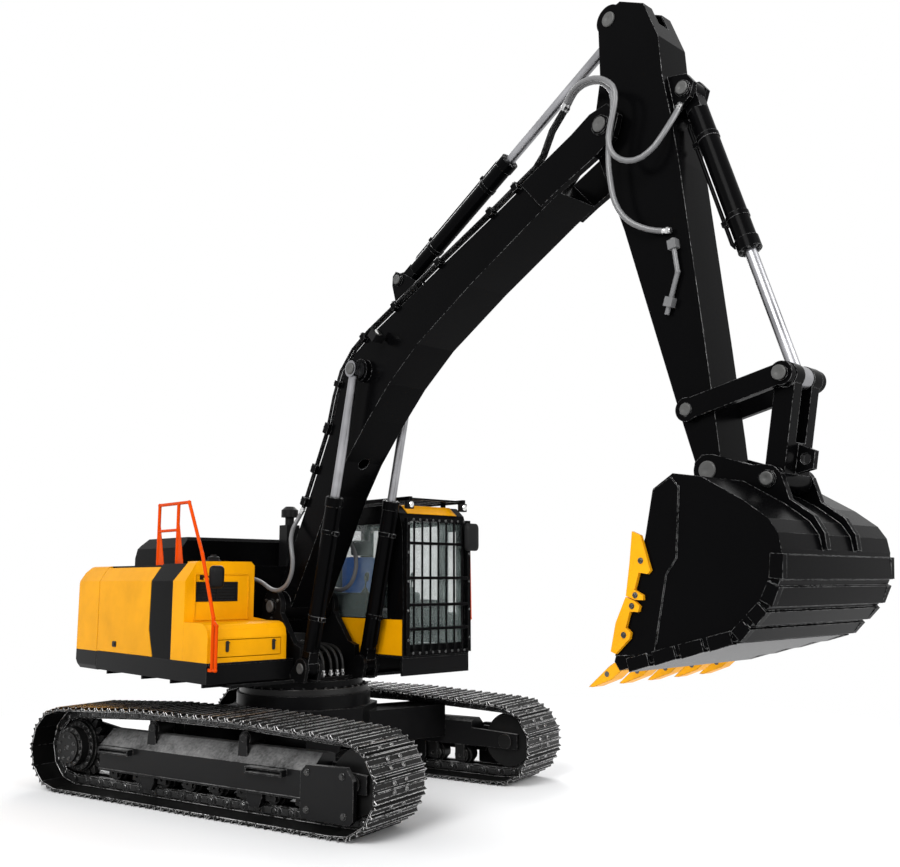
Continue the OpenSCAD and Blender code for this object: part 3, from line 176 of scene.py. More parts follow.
class WeatheringAndLight:
    """Shader group shared by the painted and cast finishes: dust, edge wear and grain, with painted light in
    part: on the frame the dust mask is painted top light on upward faces, and on the front black the edge
    wear is partly a painted edge highlight.
    """

    NAME = "weathering_and_light"
    SOCKETS = (("Paint", "NodeSocketColor"), ("Wear And Edge Highlight Colour", "NodeSocketColor"),
               ("Dust And Top Light Colour", "NodeSocketColor"), ("Wear And Edge Highlight", "NodeSocketFloat"), ("Dust And Top Light", "NodeSocketFloat"),
               ("Dust Top", "NodeSocketFloat"), ("Dust Depth", "NodeSocketFloat"),
               ("Edge Radius", "NodeSocketFloat"), ("Grain", "NodeSocketFloat"))

    @classmethod
    def tree(cls) -> bpy.types.NodeTree:
        """Builds the group once.

        Returns:
            The shader node group.
        """
        if cls.NAME in bpy.data.node_groups:
            return bpy.data.node_groups[cls.NAME]
        tree = bpy.data.node_groups.new(cls.NAME, "ShaderNodeTree")
        for name, kind in cls.SOCKETS:
            tree.interface.new_socket(name=name, in_out="INPUT", socket_type=kind)
        for name, kind in (("Colour", "NodeSocketColor"), ("Dust And Top Light Mask", "NodeSocketFloat"),
                           ("Wear And Edge Highlight Mask", "NodeSocketFloat"), ("Height", "NodeSocketFloat"),
                           ("Normal", "NodeSocketVector")):
            tree.interface.new_socket(name=name, in_out="OUTPUT", socket_type=kind)
        g = Graph(tree)
        given = g.add("NodeGroupInput").outputs
        place = g.add("ShaderNodeTexCoord")
        where = place.outputs["Object"]
        broad = g.add("ShaderNodeTexNoise", {"Vector": where, "Scale": 2.3, "Detail": 6.0,
                                             "Roughness": 0.62}).outputs[0]
        fine = g.add("ShaderNodeTexNoise",
                     {"Vector": where, "Scale": 38.0, "Detail": 5.0, "Roughness": 0.6}).outputs[0]
        grain = g.add("ShaderNodeTexNoise",
                      {"Vector": where, "Scale": given["Grain"], "Detail": 2.0}).outputs[0]
        height = g.add("ShaderNodeSeparateXYZ", {0: where}).outputs[2]
        facing = g.add("ShaderNodeSeparateXYZ", {0: place.outputs["Normal"]}).outputs[2]
        depth = g.math("DIVIDE", g.math("SUBTRACT", given["Dust Top"], height), given["Dust Depth"], True)
        up = g.ramp(facing, 0.35, 0.95)
        low_and_up_facing = g.math("ADD", g.math("MULTIPLY", depth, 0.85), g.math("MULTIPLY", up, 0.55))
        patch = g.ramp(g.math("ADD", g.math("MULTIPLY", broad, 0.7), g.math("MULTIPLY", fine, 0.3)),
                       0.36, 0.66)
        # Dust mask: dust on low places and upward faces; on the frame, whose dust top is 0, it is painted top
        # light, light grey on upward faces where light falls.
        dust_and_top_light = g.math("MULTIPLY", g.math("MULTIPLY", low_and_up_facing, patch), given["Dust And Top Light"], True)
        bevel = g.add("ShaderNodeBevel", {"Radius": given["Edge Radius"]}, samples=4)
        plain = g.add("ShaderNodeNewGeometry").outputs["Normal"]
        dot = g.add("ShaderNodeVectorMath", {0: bevel.outputs[0], 1: plain},
                    operation="DOT_PRODUCT").outputs["Value"]
        edge = g.ramp(g.math("SUBTRACT", 1.0, dot), 0.015, 0.14)
        edge_patches = g.ramp(g.math("ADD", g.math("MULTIPLY", fine, 0.65), g.math("MULTIPLY", broad, 0.35)),
                        0.44, 0.58)
        # Edge wear mask: real wear along edges, and on the front black partly a painted edge highlight in
        # light grey.
        wear_and_edge_highlight = g.math("MULTIPLY", g.math("MULTIPLY", edge, edge_patches), given["Wear And Edge Highlight"], True)
        shade = g.ramp(broad, 0.3, 0.7, 0.90, 1.08)
        tinted = g.add("ShaderNodeVectorMath", {0: given["Paint"], "Scale": shade},
                       operation="SCALE").outputs[0]
        colour = g.mix(wear_and_edge_highlight, g.mix(dust_and_top_light, tinted, given["Dust And Top Light Colour"]), given["Wear And Edge Highlight Colour"])
        g.add("NodeGroupOutput", {"Colour": colour, "Dust And Top Light Mask": dust_and_top_light, "Wear And Edge Highlight Mask": wear_and_edge_highlight, "Height": grain,
                                  "Normal": bevel.outputs[0]})
        return tree


class Finish:
    """Base of all finishes; each one makes its material once."""

    name: str

    def material(self) -> bpy.types.Material:
        """Returns the finish's material, made on first use."""
        own = f"{self.name}_finish"
        found = bpy.data.materials.get(own)
        if found is None:
            found = bpy.data.materials.new(own)
            found.use_nodes = True
            found.node_tree.nodes.clear()
            graph = Graph(found.node_tree)
            shader = graph.add("ShaderNodeBsdfPrincipled")
            graph.add("ShaderNodeOutputMaterial", {"Surface": shader.outputs[0]})
            self.shade(graph, shader)
        return found

    def shade(self, graph: Graph, shader: bpy.types.Node) -> None:
        """Wires the finish's nodes into the shader."""
        raise NotImplementedError


@dataclass(frozen=True)
class WeatheredAndLit(Finish):
    """Paint or cast metal with dust, worn edges and a fine grain; on the frame the dust is painted top light
    on upward faces, and on the front black the worn edges are partly painted edge highlights.
    """

    name: str
    paint: Colour
    roughness: float = 0.35
    metallic: float = 0.0
    coat: float = 0.0
    specular: float = 0.5
    # The wear fields paint worn edges, and on the front black partly painted edge highlights.
    wear_and_edge_highlight_colour: Colour = (0.30, 0.29, 0.28)
    wear_and_edge_highlight: float = 0.4
    wear_and_edge_highlight_metal: float = 0.6
    # The dust fields paint dust, and on the frame painted top light: upward faces made lighter where light
    # falls.
    dust_and_top_light_colour: Colour = (0.24, 0.22, 0.19)
    dust_and_top_light: float = 0.25
    dust_top: float = 1.2
    dust_depth: float = 1.2
    edge: float = 0.006
    grain: float = 220.0
    bump: float = 0.03
    band_top: float = 0.0
    band_colour: Colour = (0.0035, 0.0035, 0.0038)

    def shade(self, graph: Graph, shader: bpy.types.Node) -> None:
        """Places the group of dust, wear, grain and painted light and sends its outputs to the shader.

        Args:
            graph: Helper of the material's tree.
            shader: The material's own shader.
        """
        group = graph.add("ShaderNodeGroup", node_tree=WeatheringAndLight.tree())
        values = {"Paint": rgba(self.paint), "Wear And Edge Highlight Colour": rgba(self.wear_and_edge_highlight_colour),
                  "Dust And Top Light Colour": rgba(self.dust_and_top_light_colour), "Wear And Edge Highlight": self.wear_and_edge_highlight, "Dust And Top Light": self.dust_and_top_light,
                  "Dust Top": self.dust_top, "Dust Depth": self.dust_depth, "Edge Radius": self.edge,
                  "Grain": self.grain}
        for key, value in values.items():
            group.inputs[key].default_value = value
        link = graph.tree.links.new
        if self.band_top:
            place = graph.add("ShaderNodeTexCoord").outputs["Object"]
            height = graph.add("ShaderNodeSeparateXYZ", {0: place}).outputs[2]
            below = graph.math("LESS_THAN", height, self.band_top)
            link(graph.mix(below, rgba(self.paint), rgba(self.band_colour)), group.inputs["Paint"])
        link(group.outputs["Colour"], shader.inputs["Base Color"])
        rough = graph.ramp(group.outputs["Dust And Top Light Mask"], 0.0, 0.7, self.roughness, 0.85)
        link(rough, shader.inputs["Roughness"])
        if self.metallic or self.wear_and_edge_highlight_metal:
            metal = graph.ramp(group.outputs["Wear And Edge Highlight Mask"], 0.0, 1.0, self.metallic,
                               max(self.metallic, self.wear_and_edge_highlight_metal))
            link(metal, shader.inputs["Metallic"])
        bump = graph.add("ShaderNodeBump",
                         {"Strength": self.bump, "Distance": 0.004, "Height": group.outputs["Height"],
                          "Normal": group.outputs["Normal"]})
        link(bump.outputs[0], shader.inputs["Normal"])
        shader.inputs["Specular IOR Level"].default_value = self.specular
        if self.coat:
            shader.inputs["Coat Weight"].default_value = self.coat
            shader.inputs["Coat Roughness"].default_value = 0.08


@dataclass(frozen=True)
class Plated(Finish):
    """Bright metal with fine streaks along one axis."""

    name: str
    paint: Colour
    roughness: float = 0.12
    streak: Point = (40.0, 40.0, 40.0)

    def shade(self, graph: Graph, shader: bpy.types.Node) -> None:
        """Adds streaks to the colour and the gloss."""
        where = graph.add("ShaderNodeTexCoord").outputs["Object"]
        laid = graph.add("ShaderNodeMapping", {"Vector": where, "Scale": self.streak}).outputs[0]
        noise = graph.add("ShaderNodeTexNoise", {"Vector": laid, "Scale": 1.0, "Detail": 4.0}).outputs[0]
        dark = rgba(tuple(0.72 * c for c in self.paint))
        link = graph.tree.links.new
        link(graph.mix(graph.ramp(noise, 0.35, 0.65), dark, rgba(self.paint)), shader.inputs["Base Color"])
        link(graph.ramp(noise, 0.3, 0.7, self.roughness * 0.7, self.roughness * 1.7),
             shader.inputs["Roughness"])
        shader.inputs["Metallic"].default_value = 1.0


@dataclass(frozen=True)
class Glazing(Finish):
    """Tinted clear pane with a film of dust."""

    name: str
    tint: Colour = (0.34, 0.42, 0.40)

    def shade(self, graph: Graph, shader: bpy.types.Node) -> None:
        """Makes the pane clear, with a faint dust film in its gloss."""
        where = graph.add("ShaderNodeTexCoord").outputs["Object"]
        noise = graph.add("ShaderNodeTexNoise", {"Vector": where, "Scale": 5.0, "Detail": 5.0}).outputs[0]
        link = graph.tree.links.new
        link(graph.ramp(noise, 0.45, 0.75, 0.02, 0.14), shader.inputs["Roughness"])
        link(graph.ramp(noise, 0.4, 0.8, 0.20, 0.30), shader.inputs["Alpha"])
        shader.inputs["Base Color"].default_value = rgba(self.tint)
        shader.inputs["Transmission Weight"].default_value = 0.25
        shader.inputs["IOR"].default_value = 1.46


@dataclass(frozen=True)
class Cloth(Finish):
    """Woven seat cover with a visible weave and soft sheen."""

    name: str
    paint: Colour
    scale: float = 420.0

    def shade(self, graph: Graph, shader: bpy.types.Node) -> None:
        """Crosses two thread waves into colour and bump."""
        where = graph.add("ShaderNodeTexCoord").outputs["Object"]
        waves = [graph.add("ShaderNodeTexWave", {"Vector": where, "Scale": self.scale, "Distortion": 0.6},
                           bands_direction=way).outputs[1] for way in ("X", "DIAGONAL")]
        weave = graph.math("MULTIPLY", waves[0], waves[1])
        link = graph.tree.links.new
        link(graph.mix(weave, rgba(tuple(0.6 * c for c in self.paint)), rgba(self.paint)),
             shader.inputs["Base Color"])
        bump = graph.add("ShaderNodeBump", {"Strength": 0.2, "Distance": 0.002, "Height": weave})
        link(bump.outputs[0], shader.inputs["Normal"])
        shader.inputs["Roughness"].default_value = 0.9
        shader.inputs["Sheen Weight"].default_value = 0.3


class Finishes:
    """The finishes of this machine."""

    YELLOW = WeatheredAndLit("yellow_paint", (0.80, 0.345, 0.0010), roughness=0.26, specular=0.05, wear_and_edge_highlight=0.12,
                       dust_and_top_light=0.02, dust_top=1.6, dust_depth=1.0, wear_and_edge_highlight_colour=(0.16, 0.10, 0.05), edge=0.010,
                       bump=0.015)
    WEIGHT = WeatheredAndLit("weight_paint", (0.80, 0.345, 0.0010), roughness=0.28, specular=0.05, wear_and_edge_highlight=0.10,
                       dust_and_top_light=0.02, dust_top=1.5, dust_depth=0.8, wear_and_edge_highlight_colour=(0.16, 0.10, 0.05), edge=0.020,
                       bump=0.03, grain=60.0, band_top=1.29)
    # Front black: its light grey edge wear is partly real wear and partly a painted edge highlight.
    BLACK = WeatheredAndLit("front_paint", (0.0016, 0.0016, 0.0018), roughness=0.22, specular=0.025, wear_and_edge_highlight=1.1,
                      dust_and_top_light=0.01, dust_top=2.0, dust_depth=3.0, dust_and_top_light_colour=(0.06, 0.06, 0.06),
                      wear_and_edge_highlight_colour=(0.28, 0.28, 0.28), edge=0.007)
    PANEL = WeatheredAndLit("panel_paint", (0.0018, 0.0018, 0.0020), roughness=0.24, specular=0.03, wear_and_edge_highlight=0.40,
                      dust_and_top_light=0.01, dust_top=2.0, dust_depth=2.0, dust_and_top_light_colour=(0.06, 0.06, 0.06),
                      wear_and_edge_highlight_colour=(0.14, 0.14, 0.14), edge=0.006)
    # Frame: the light grey dust here lies on upward faces only and is painted top light, where light falls on
    # the sloping top.
    FRAME = WeatheredAndLit("frame_paint", (0.0075, 0.0075, 0.0078), roughness=0.28, specular=0.12, wear_and_edge_highlight=0.8,
                      dust_and_top_light=2.2, dust_top=0.0, dust_depth=1.0, dust_and_top_light_colour=(0.34, 0.338, 0.335), edge=0.007,
                      wear_and_edge_highlight_colour=(0.30, 0.295, 0.29))
    DECK = WeatheredAndLit("deck_paint", (0.0035, 0.0035, 0.0038), roughness=0.30, specular=0.05, wear_and_edge_highlight=0.45,
                     dust_and_top_light=0.04, dust_top=1.3, dust_depth=0.6, dust_and_top_light_colour=(0.06, 0.058, 0.055), edge=0.006)
    TRACK = WeatheredAndLit("track_steel", (0.016, 0.0158, 0.0155), roughness=0.34, metallic=0.85, specular=0.1,
                      wear_and_edge_highlight=2.6, wear_and_edge_highlight_metal=1.0, wear_and_edge_highlight_colour=(0.85, 0.845, 0.84), dust_and_top_light=0.05, dust_top=0.9,
                      dust_depth=1.2, dust_and_top_light_colour=(0.07, 0.068, 0.065), edge=0.009, bump=0.10, grain=120.0)
    WHEEL = WeatheredAndLit("wheel_iron", (0.008, 0.008, 0.008), roughness=0.34, specular=0.18, metallic=0.2,
                      wear_and_edge_highlight=0.8, dust_and_top_light=0.2, dust_top=0.8, dust_depth=0.9, dust_and_top_light_colour=(0.05, 0.049, 0.047),
                      edge=0.006)
    LINK = WeatheredAndLit("chain_iron", (0.045, 0.045, 0.045), roughness=0.32, specular=0.3, metallic=0.7,
                     wear_and_edge_highlight=2.0, wear_and_edge_highlight_metal=1.0, wear_and_edge_highlight_colour=(0.6, 0.6, 0.6), dust_and_top_light=0.15, dust_top=0.7,
                     dust_depth=0.9, dust_and_top_light_colour=(0.06, 0.058, 0.056), edge=0.004)
    IRON = WeatheredAndLit("engine_iron", (0.05, 0.05, 0.05), roughness=0.5, metallic=0.4, wear_and_edge_highlight=0.3, dust_and_top_light=0.3)
    STEEL = WeatheredAndLit("ring_steel", (0.012, 0.012, 0.012), roughness=0.34, metallic=0.6, wear_and_edge_highlight=0.8, dust_and_top_light=0.1)
    PIN = WeatheredAndLit("pin_steel", (0.085, 0.085, 0.083), roughness=0.40, specular=0.2, metallic=0.2, wear_and_edge_highlight=0.5,
                    dust_and_top_light=0.05, edge=0.004)
    BOLT = WeatheredAndLit("bolt_steel", (0.05, 0.05, 0.05), roughness=0.30, metallic=0.8, wear_and_edge_highlight=0.9, dust_and_top_light=0.05,
                     edge=0.003, wear_and_edge_highlight_colour=(0.5, 0.5, 0.5))
    ORANGE = WeatheredAndLit("rail_paint", (0.64, 0.058, 0.0008), roughness=0.3, specular=0.04, wear_and_edge_highlight=0.15,
                       dust_and_top_light=0.01, edge=0.003, wear_and_edge_highlight_colour=(0.12, 0.05, 0.03))
    TOOTH = WeatheredAndLit("tooth_paint", (0.80, 0.35, 0.006), roughness=0.42, specular=0.15, wear_and_edge_highlight=0.9,
                      wear_and_edge_highlight_metal=0.3, edge=0.012, wear_and_edge_highlight_colour=(0.23, 0.10, 0.045), dust_and_top_light=0.6, dust_top=0.98,
                      dust_depth=0.22, dust_and_top_light_colour=(0.22, 0.075, 0.02))
    CUTTER = WeatheredAndLit("cutter_paint", (0.80, 0.345, 0.004), roughness=0.36, specular=0.12, wear_and_edge_highlight=0.35,
                       wear_and_edge_highlight_metal=0.1, edge=0.006, wear_and_edge_highlight_colour=(0.25, 0.12, 0.05), dust_and_top_light=0.08)
    PLASTIC = WeatheredAndLit("black_plastic", (0.0045, 0.0045, 0.0048), roughness=0.42, specular=0.12, wear_and_edge_highlight=0.0,
                        wear_and_edge_highlight_metal=0.0, dust_and_top_light=0.05, dust_top=3.0, dust_depth=3.0,
                        dust_and_top_light_colour=(0.06, 0.06, 0.06), bump=0.12, grain=420.0, edge=0.005)
    # Hose rubber, also used on the arm pipe: its light grey base colour is partly the hoses' own grey and
    # partly painted sheen standing in for their highlights.
    PAINTED_SHEEN_RUBBER = WeatheredAndLit("hose_rubber_painted_sheen", (0.13, 0.13, 0.133), roughness=0.26, specular=0.5, wear_and_edge_highlight=0.0,
                       wear_and_edge_highlight_metal=0.0, dust_and_top_light=0.1, edge=0.002, bump=0.2, grain=500.0)
    DARK_RUBBER = WeatheredAndLit("dark_rubber", (0.008, 0.008, 0.008), roughness=0.38, specular=0.25, wear_and_edge_highlight=0.0,
                            wear_and_edge_highlight_metal=0.0, dust_and_top_light=0.1, edge=0.002, bump=0.2, grain=500.0)
    CHROME = Plated("rod_chrome", (0.34, 0.34, 0.355), 0.30, (3.0, 3.0, 3.0))
    SILVER = Plated("fitting_zinc", (0.62, 0.62, 0.62), 0.24)
    LENS = Plated("lamp_lens", (0.82, 0.82, 0.80), 0.08, (90.0, 90.0, 90.0))
    GLASS = Glazing("cab_glass_pane")
    SEAT = Cloth("seat_cover", (0.045, 0.045, 0.05))
    BLUE = Cloth("blue_cover", (0.012, 0.13, 0.55), 160.0)


NODE_FINISH: dict[str, Finish] = {
    **dict.fromkeys(("right_track_frame", "left_track_frame"), Finishes.FRAME),
    "car_body": Finishes.DECK, "main_frame": Finishes.DECK, "house_frame": Finishes.PANEL,
    "slew_ring": Finishes.STEEL,
    **dict.fromkeys(("right_track", "left_track"), Finishes.TRACK),
    **dict.fromkeys(("right_sprocket", "left_sprocket", "right_idler", "left_idler", "right_rollers",
                     "left_rollers"),
                    Finishes.WHEEL),
    "counterweight": Finishes.WEIGHT,
    **dict.fromkeys(("right_tank", "tool_box", "right_door", "left_door", "box_lid"), Finishes.YELLOW),
    **dict.fromkeys(("band_panel", "cab_shell", "cab_guard", "cab_door", "engine_hood"), Finishes.PANEL),
    **dict.fromkeys(("cab_glass", "door_glass"), Finishes.GLASS),
    **dict.fromkeys(("engine", "valve_block"), Finishes.IRON),
    "cab_seat": Finishes.SEAT, "handrail": Finishes.ORANGE,
    **dict.fromkeys(("mirrors", "pre_cleaner"), Finishes.PLASTIC),
    **dict.fromkeys(("boom", "arm", "bucket", "idler_links", "hook_link", "boom_barrels", "arm_barrel",
                     "bucket_barrel", "boom_pipes"), Finishes.BLACK),
    "boom_lamp": Finishes.PLASTIC, "bucket_teeth": Finishes.TOOTH, "side_cutters": Finishes.CUTTER,
    "tank_vent": Finishes.PLASTIC, "cab_panel": Finishes.YELLOW, "cab_lamps": Finishes.PLASTIC,
    "arm_pipe": Finishes.PAINTED_SHEEN_RUBBER,
    **dict.fromkeys(("boom_rods", "arm_rod", "bucket_rod"), Finishes.CHROME),
}


def paint_nodes() -> None:
    """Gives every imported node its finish."""
    for name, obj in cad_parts.items():
        made = NODE_FINISH.get(name, Finishes.PANEL).material()
        if obj.data.materials:
            for index in range(len(obj.data.materials)):
                obj.data.materials[index] = made
        else:
            obj.data.materials.append(made)
        LOG.info("node %s painted %s", name, made.name)


def around(axis: Vector) -> tuple[Vector, Vector]:
    """Two unit directions square to an axis and to each other."""
    helper = Vector((0.0, 0.0, 1.0)) if abs(axis.normalized().z) < 0.9 else Vector((1.0, 0.0, 0.0))
    first = axis.cross(helper).normalized()
    return first, axis.cross(first).normalized()


def smooth_route(points: Sequence[Vector], count: int) -> list[Vector]:
    """Lays a smooth curve through points and cuts it into equal steps.

    Args:
        points: Points that the curve passes.
        count: Number of points to give back.

    Returns:
        Points at equal distances along the curve.
    """
    ends = [points[0] * 2.0 - points[1], *points, points[-1] * 2.0 - points[-2]]
    fine: list[Vector] = []
    for a, b, c, d in zip(ends, ends[1:], ends[2:], ends[3:]):
        for step in range(16):
            t = step / 16.0
            fine.append(0.5 * (2.0 * b + (c - a) * t + (2.0 * a - 5.0 * b + 4.0 * c - d) * t * t
                               + (3.0 * b - a - 3.0 * c + d) * t ** 3))
    fine.append(points[-1].copy())
    gone = [0.0]
    for p, q in zip(fine, fine[1:]):
        gone.append(gone[-1] + (q - p).length)
    route, at = [], 0
    for k in range(count):
        want = gone[-1] * k / (count - 1)
        while at < len(gone) - 2 and gone[at + 1] < want:
            at += 1
        share = (want - gone[at]) / max(gone[at + 1] - gone[at], 1e-9)
        route.append(fine[at].lerp(fine[at + 1], min(max(share, 0.0), 1.0)))
    return route


class Sculpt:
    """Collects the points and faces of one piece in mesh code."""

    def __init__(self) -> None:
        """Starts with no points."""
        self.points: list[Vector] = []
        self.faces: list[tuple[int, ...]] = []

    def loft(self, rings: Sequence[Sequence[Vector]], hollow: bool = False) -> "Sculpt":
        """Joins rings of equal length by quads and closes both ends, or joins the last ring to the first."""
        start, size = len(self.points), len(rings[0])
        for ring in rings:
            self.points.extend(ring)
        for low in range(start, start + (len(rings) - 1) * size, size):
            for k in range(size):
                a, b = low + k, low + (k + 1) % size
                self.faces.append((a, b, b + size, a + size))
        last = start + (len(rings) - 1) * size
        if hollow:
            for k in range(size):
                turn = (k + 1) % size
                self.faces.append((last + k, last + turn, start + turn, start + k))
            return self
        self.faces.append(tuple(range(start + size - 1, start - 1, -1)))
        self.faces.append(tuple(range(last, last + size)))
        return self

    def slab(self, outline: Sequence[Vector], depth: Vector, chamfer: float = 0.003) -> "Sculpt":
        """Adds a plate with chamfered rims.

        Args:
            outline: Corners of the plate's first face.
            depth: From the first face to the far one.
            chamfer: Width of the chamfer on both rims.

        Returns:
            The sculpt itself.
        """
        middle = sum(outline, Vector()) / len(outline)
        step = depth.normalized() * min(chamfer, 0.3 * depth.length)
        inner = [p + (middle - p).normalized() * chamfer for p in outline]
        return self.loft([inner, [p + step for p in outline], [p + depth - step for p in outline],
                          [p + depth for p in inner]])

    def block(self, low: Vector, high: Vector, chamfer: float = 0.003) -> "Sculpt":
        """Adds a chamfered box between two corners."""
        corners = [Vector((x, y, low.z)) for x, y in
                   ((low.x, low.y), (high.x, low.y), (high.x, high.y), (low.x, high.y))]
        return self.slab(corners, Vector((0.0, 0.0, high.z - low.z)), chamfer)

    def turned(self, centre: Vector, axis: Vector, profile: Sequence[tuple[float, float]], sides: int = 24,
               hollow: bool = False) -> "Sculpt":
        """Adds a turned form.

        Args:
            centre: Place of height 0 on the axis.
            axis: Direction of the axis.
            profile: Radius and height of each ring.
            sides: Number of sides.
            hollow: Whether the form is a ring with an open middle.

        Returns:
            The sculpt itself.
        """
        along = axis.normalized()
        u, v = around(along)
        turns = [2.0 * math.pi * k / sides for k in range(sides)]
        return self.loft([[centre + along * h + (u * math.cos(a) + v * math.sin(a)) * r for a in turns]
                          for r, h in profile], hollow)

    def disc(self, centre: Vector, axis: Vector, radius: float, height: float, sides: int = 24) -> "Sculpt":
        """Adds a pin head: a disc with a chamfer and a shallow centre dimple."""
        c = min(0.2 * radius, 0.4 * height)
        return self.turned(centre, axis, ((radius, 0.0), (radius, height - c), (radius - c, height),
                                          (0.35 * radius, height), (0.28 * radius, height - 0.4 * c)), sides)

    def fitting(self, centre: Vector, axis: Vector, radius: float) -> "Sculpt":
        """Adds a hose end: collar, hex nut and crimped sleeve."""
        r = radius
        self.turned(centre, axis,
                    ((1.15 * r, 0.0), (1.25 * r, 0.2 * r), (1.25 * r, 1.0 * r), (1.1 * r, 1.2 * r)), 16)
        self.turned(centre + axis.normalized() * 1.1 * r, axis,
                    ((1.45 * r, 0.0), (1.55 * r, 0.12 * r), (1.55 * r, 1.0 * r), (1.4 * r, 1.15 * r)), 6)
        return self.turned(centre + axis.normalized() * 2.15 * r, axis,
                           ((1.2 * r, 0.0), (1.28 * r, 0.2 * r), (1.28 * r, 1.7 * r),
                            (1.12 * r, 1.9 * r)), 16)

    def tube(self, route: Sequence[Vector], radius: float, sides: int = 10) -> "Sculpt":
        """Sweeps a round rod along a route without twist.

        Args:
            route: Points of the centreline.
            radius: Radius of the rod.
            sides: Number of sides.

        Returns:
            The sculpt itself.
        """
        rings: list[list[Vector]] = []
        side = Vector()
        for k, p in enumerate(route):
            along = (route[min(k + 1, len(route) - 1)] - route[max(k - 1, 0)]).normalized()
            side = around(along)[0] if k == 0 else (side - along * side.dot(along)).normalized()
            other = along.cross(side)
            rings.append([p + (side * math.cos(a) + other * math.sin(a)) * radius
                          for a in (2.0 * math.pi * n / sides for n in range(sides))])
        return self.loft(rings)

    def piece(self, name: str, finish: Finish, body: Body, slot: str,
              smooth: float = 35.0) -> bpy.types.Object:
        """Makes the collected form a piece that rides on a body.

        Args:
            name: Name of the piece.
            finish: Its finish.
            body: The body that it rides on.
            slot: The record's material slot; not used.
            smooth: Edges below this angle, in degrees, are shaded smooth.

        Returns:
            The new object.
        """
        obj = self.form(name, finish, smooth)
        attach(obj, body.value)
        report(obj)
        return obj

    def form(self, name: str, finish: Finish, smooth: float = 35.0) -> bpy.types.Object:
        """Makes the collected form an object that rides on nothing yet."""
        mesh = bpy.data.meshes.new(name)
        mesh.from_pydata([tuple(p) for p in self.points], [], self.faces)
        work = bmesh.new()
        work.from_mesh(mesh)
        bmesh.ops.recalc_face_normals(work, faces=work.faces)
        work.to_mesh(mesh)
        work.free()
        mesh.materials.append(finish.material())
        for polygon in mesh.polygons:
            polygon.use_smooth = True
        mesh.set_sharp_from_angle(angle=math.radians(smooth))
        obj = bpy.data.objects.new(name, mesh)
        bpy.context.scene.collection.objects.link(obj)
        return obj


def report(obj: bpy.types.Object) -> None:
    """Logs a finished piece with its number of faces."""
    LOG.info("piece %s, %d faces", obj.name, len(obj.data.polygons))


class GeometryTool:
    """Base of the geometry node trees; each tree is built once from named inputs."""

    NAME = "tool"
    INPUTS: tuple[tuple[str, str], ...] = ()

    def wire(self, graph: Graph, given: bpy.types.NodeOutputs) -> bpy.types.NodeSocket:
        """Lays the nodes between the given inputs and the geometry that comes out."""
        raise NotImplementedError

    def stamp(self, graph: Graph, given: bpy.types.NodeOutputs,
              parts: Sequence[tuple[bpy.types.NodeSocket, object, object]]) -> bpy.types.NodeSocket:
        """Joins parts and sets them at each point, turned by the point's own angles.

        Args:
            graph: Helper of the tool's tree.
            given: The tree's inputs.
            parts: Each part with its shift along X and Z.

        Returns:
            The instances.
        """
        join = graph.add("GeometryNodeJoinGeometry")
        for part, along, height in parts:
            offset = graph.add("ShaderNodeCombineXYZ", {"X": along, "Z": height}).outputs[0]
            moved = graph.add("GeometryNodeTransform", {"Geometry": part, "Translation": offset}).outputs[0]
            graph.tree.links.new(moved, join.inputs[0])
        turn = graph.add("GeometryNodeInputNamedAttribute", {"Name": "turn"},
                         data_type="FLOAT_VECTOR").outputs[0]
        way = graph.add("FunctionNodeEulerToRotation", {0: turn}).outputs[0]
        return graph.add("GeometryNodeInstanceOnPoints",
                         {"Points": given["Geometry"], "Instance": join.outputs[0],
                          "Rotation": way}).outputs[0]

    def tree(self) -> bpy.types.NodeTree:
        """Builds the tree on first use.

        Returns:
            The geometry node tree.
        """
        found = bpy.data.node_groups.get(self.NAME)
        if found is None:
            found = bpy.data.node_groups.new(self.NAME, "GeometryNodeTree")
            found.interface.new_socket(name="Geometry", in_out="INPUT", socket_type="NodeSocketGeometry")
            for name, kind in (*self.INPUTS, ("Finish", "NodeSocketMaterial")):
                found.interface.new_socket(name=name, in_out="INPUT", socket_type=kind)
            found.interface.new_socket(name="Geometry", in_out="OUTPUT", socket_type="NodeSocketGeometry")
            graph = Graph(found)
            given = graph.add("NodeGroupInput").outputs
            real = graph.add("GeometryNodeRealizeInstances", {0: self.wire(graph, given)}).outputs[0]
            done = graph.add("GeometryNodeSetMaterial",
                             {"Geometry": real, "Material": given["Finish"]}).outputs[0]
            graph.add("NodeGroupOutput", {0: done})
        return found

    def grow(self, name: str, carrier: bpy.types.Mesh, finish: Finish, values: dict[str, float],
             smooth: float = 35.0) -> bpy.types.Object:
        """Runs the tree on a carrier mesh and keeps the result as a plain mesh.

        Args:
            name: Name of the piece.
            carrier: Points or edges that the tree works on.
            finish: The piece's finish.
            values: Sizes for the tree's named inputs.
            smooth: Edges below this angle, in degrees, are shaded smooth.

        Returns:
            An object with a plain mesh, riding on nothing yet.
        """
        obj = bpy.data.objects.new(name, carrier)
        bpy.context.scene.collection.objects.link(obj)
        modifier = obj.modifiers.new(self.NAME, "NODES")
        tree = self.tree()
        modifier.node_group = tree
        for item in tree.interface.items_tree:
            if item.item_type == "SOCKET" and item.in_out == "INPUT" and item.name != "Geometry":
                modifier[item.identifier] = finish.material() if item.name == "Finish" else values[item.name]
        bpy.context.view_layer.update()
        made = bpy.data.meshes.new_from_object(obj.evaluated_get(bpy.context.evaluated_depsgraph_get()))
        obj.modifiers.clear()
        obj.data = made
        made.name = name
        for polygon in made.polygons:
            polygon.use_smooth = True
        made.set_sharp_from_angle(angle=math.radians(smooth))
        return obj


@dataclass(frozen=True)
class Seat:
    """Place and outward direction of one screw, and how far it is turned."""

    place: Vector
    axis: Vector
    turn: float = 0.0


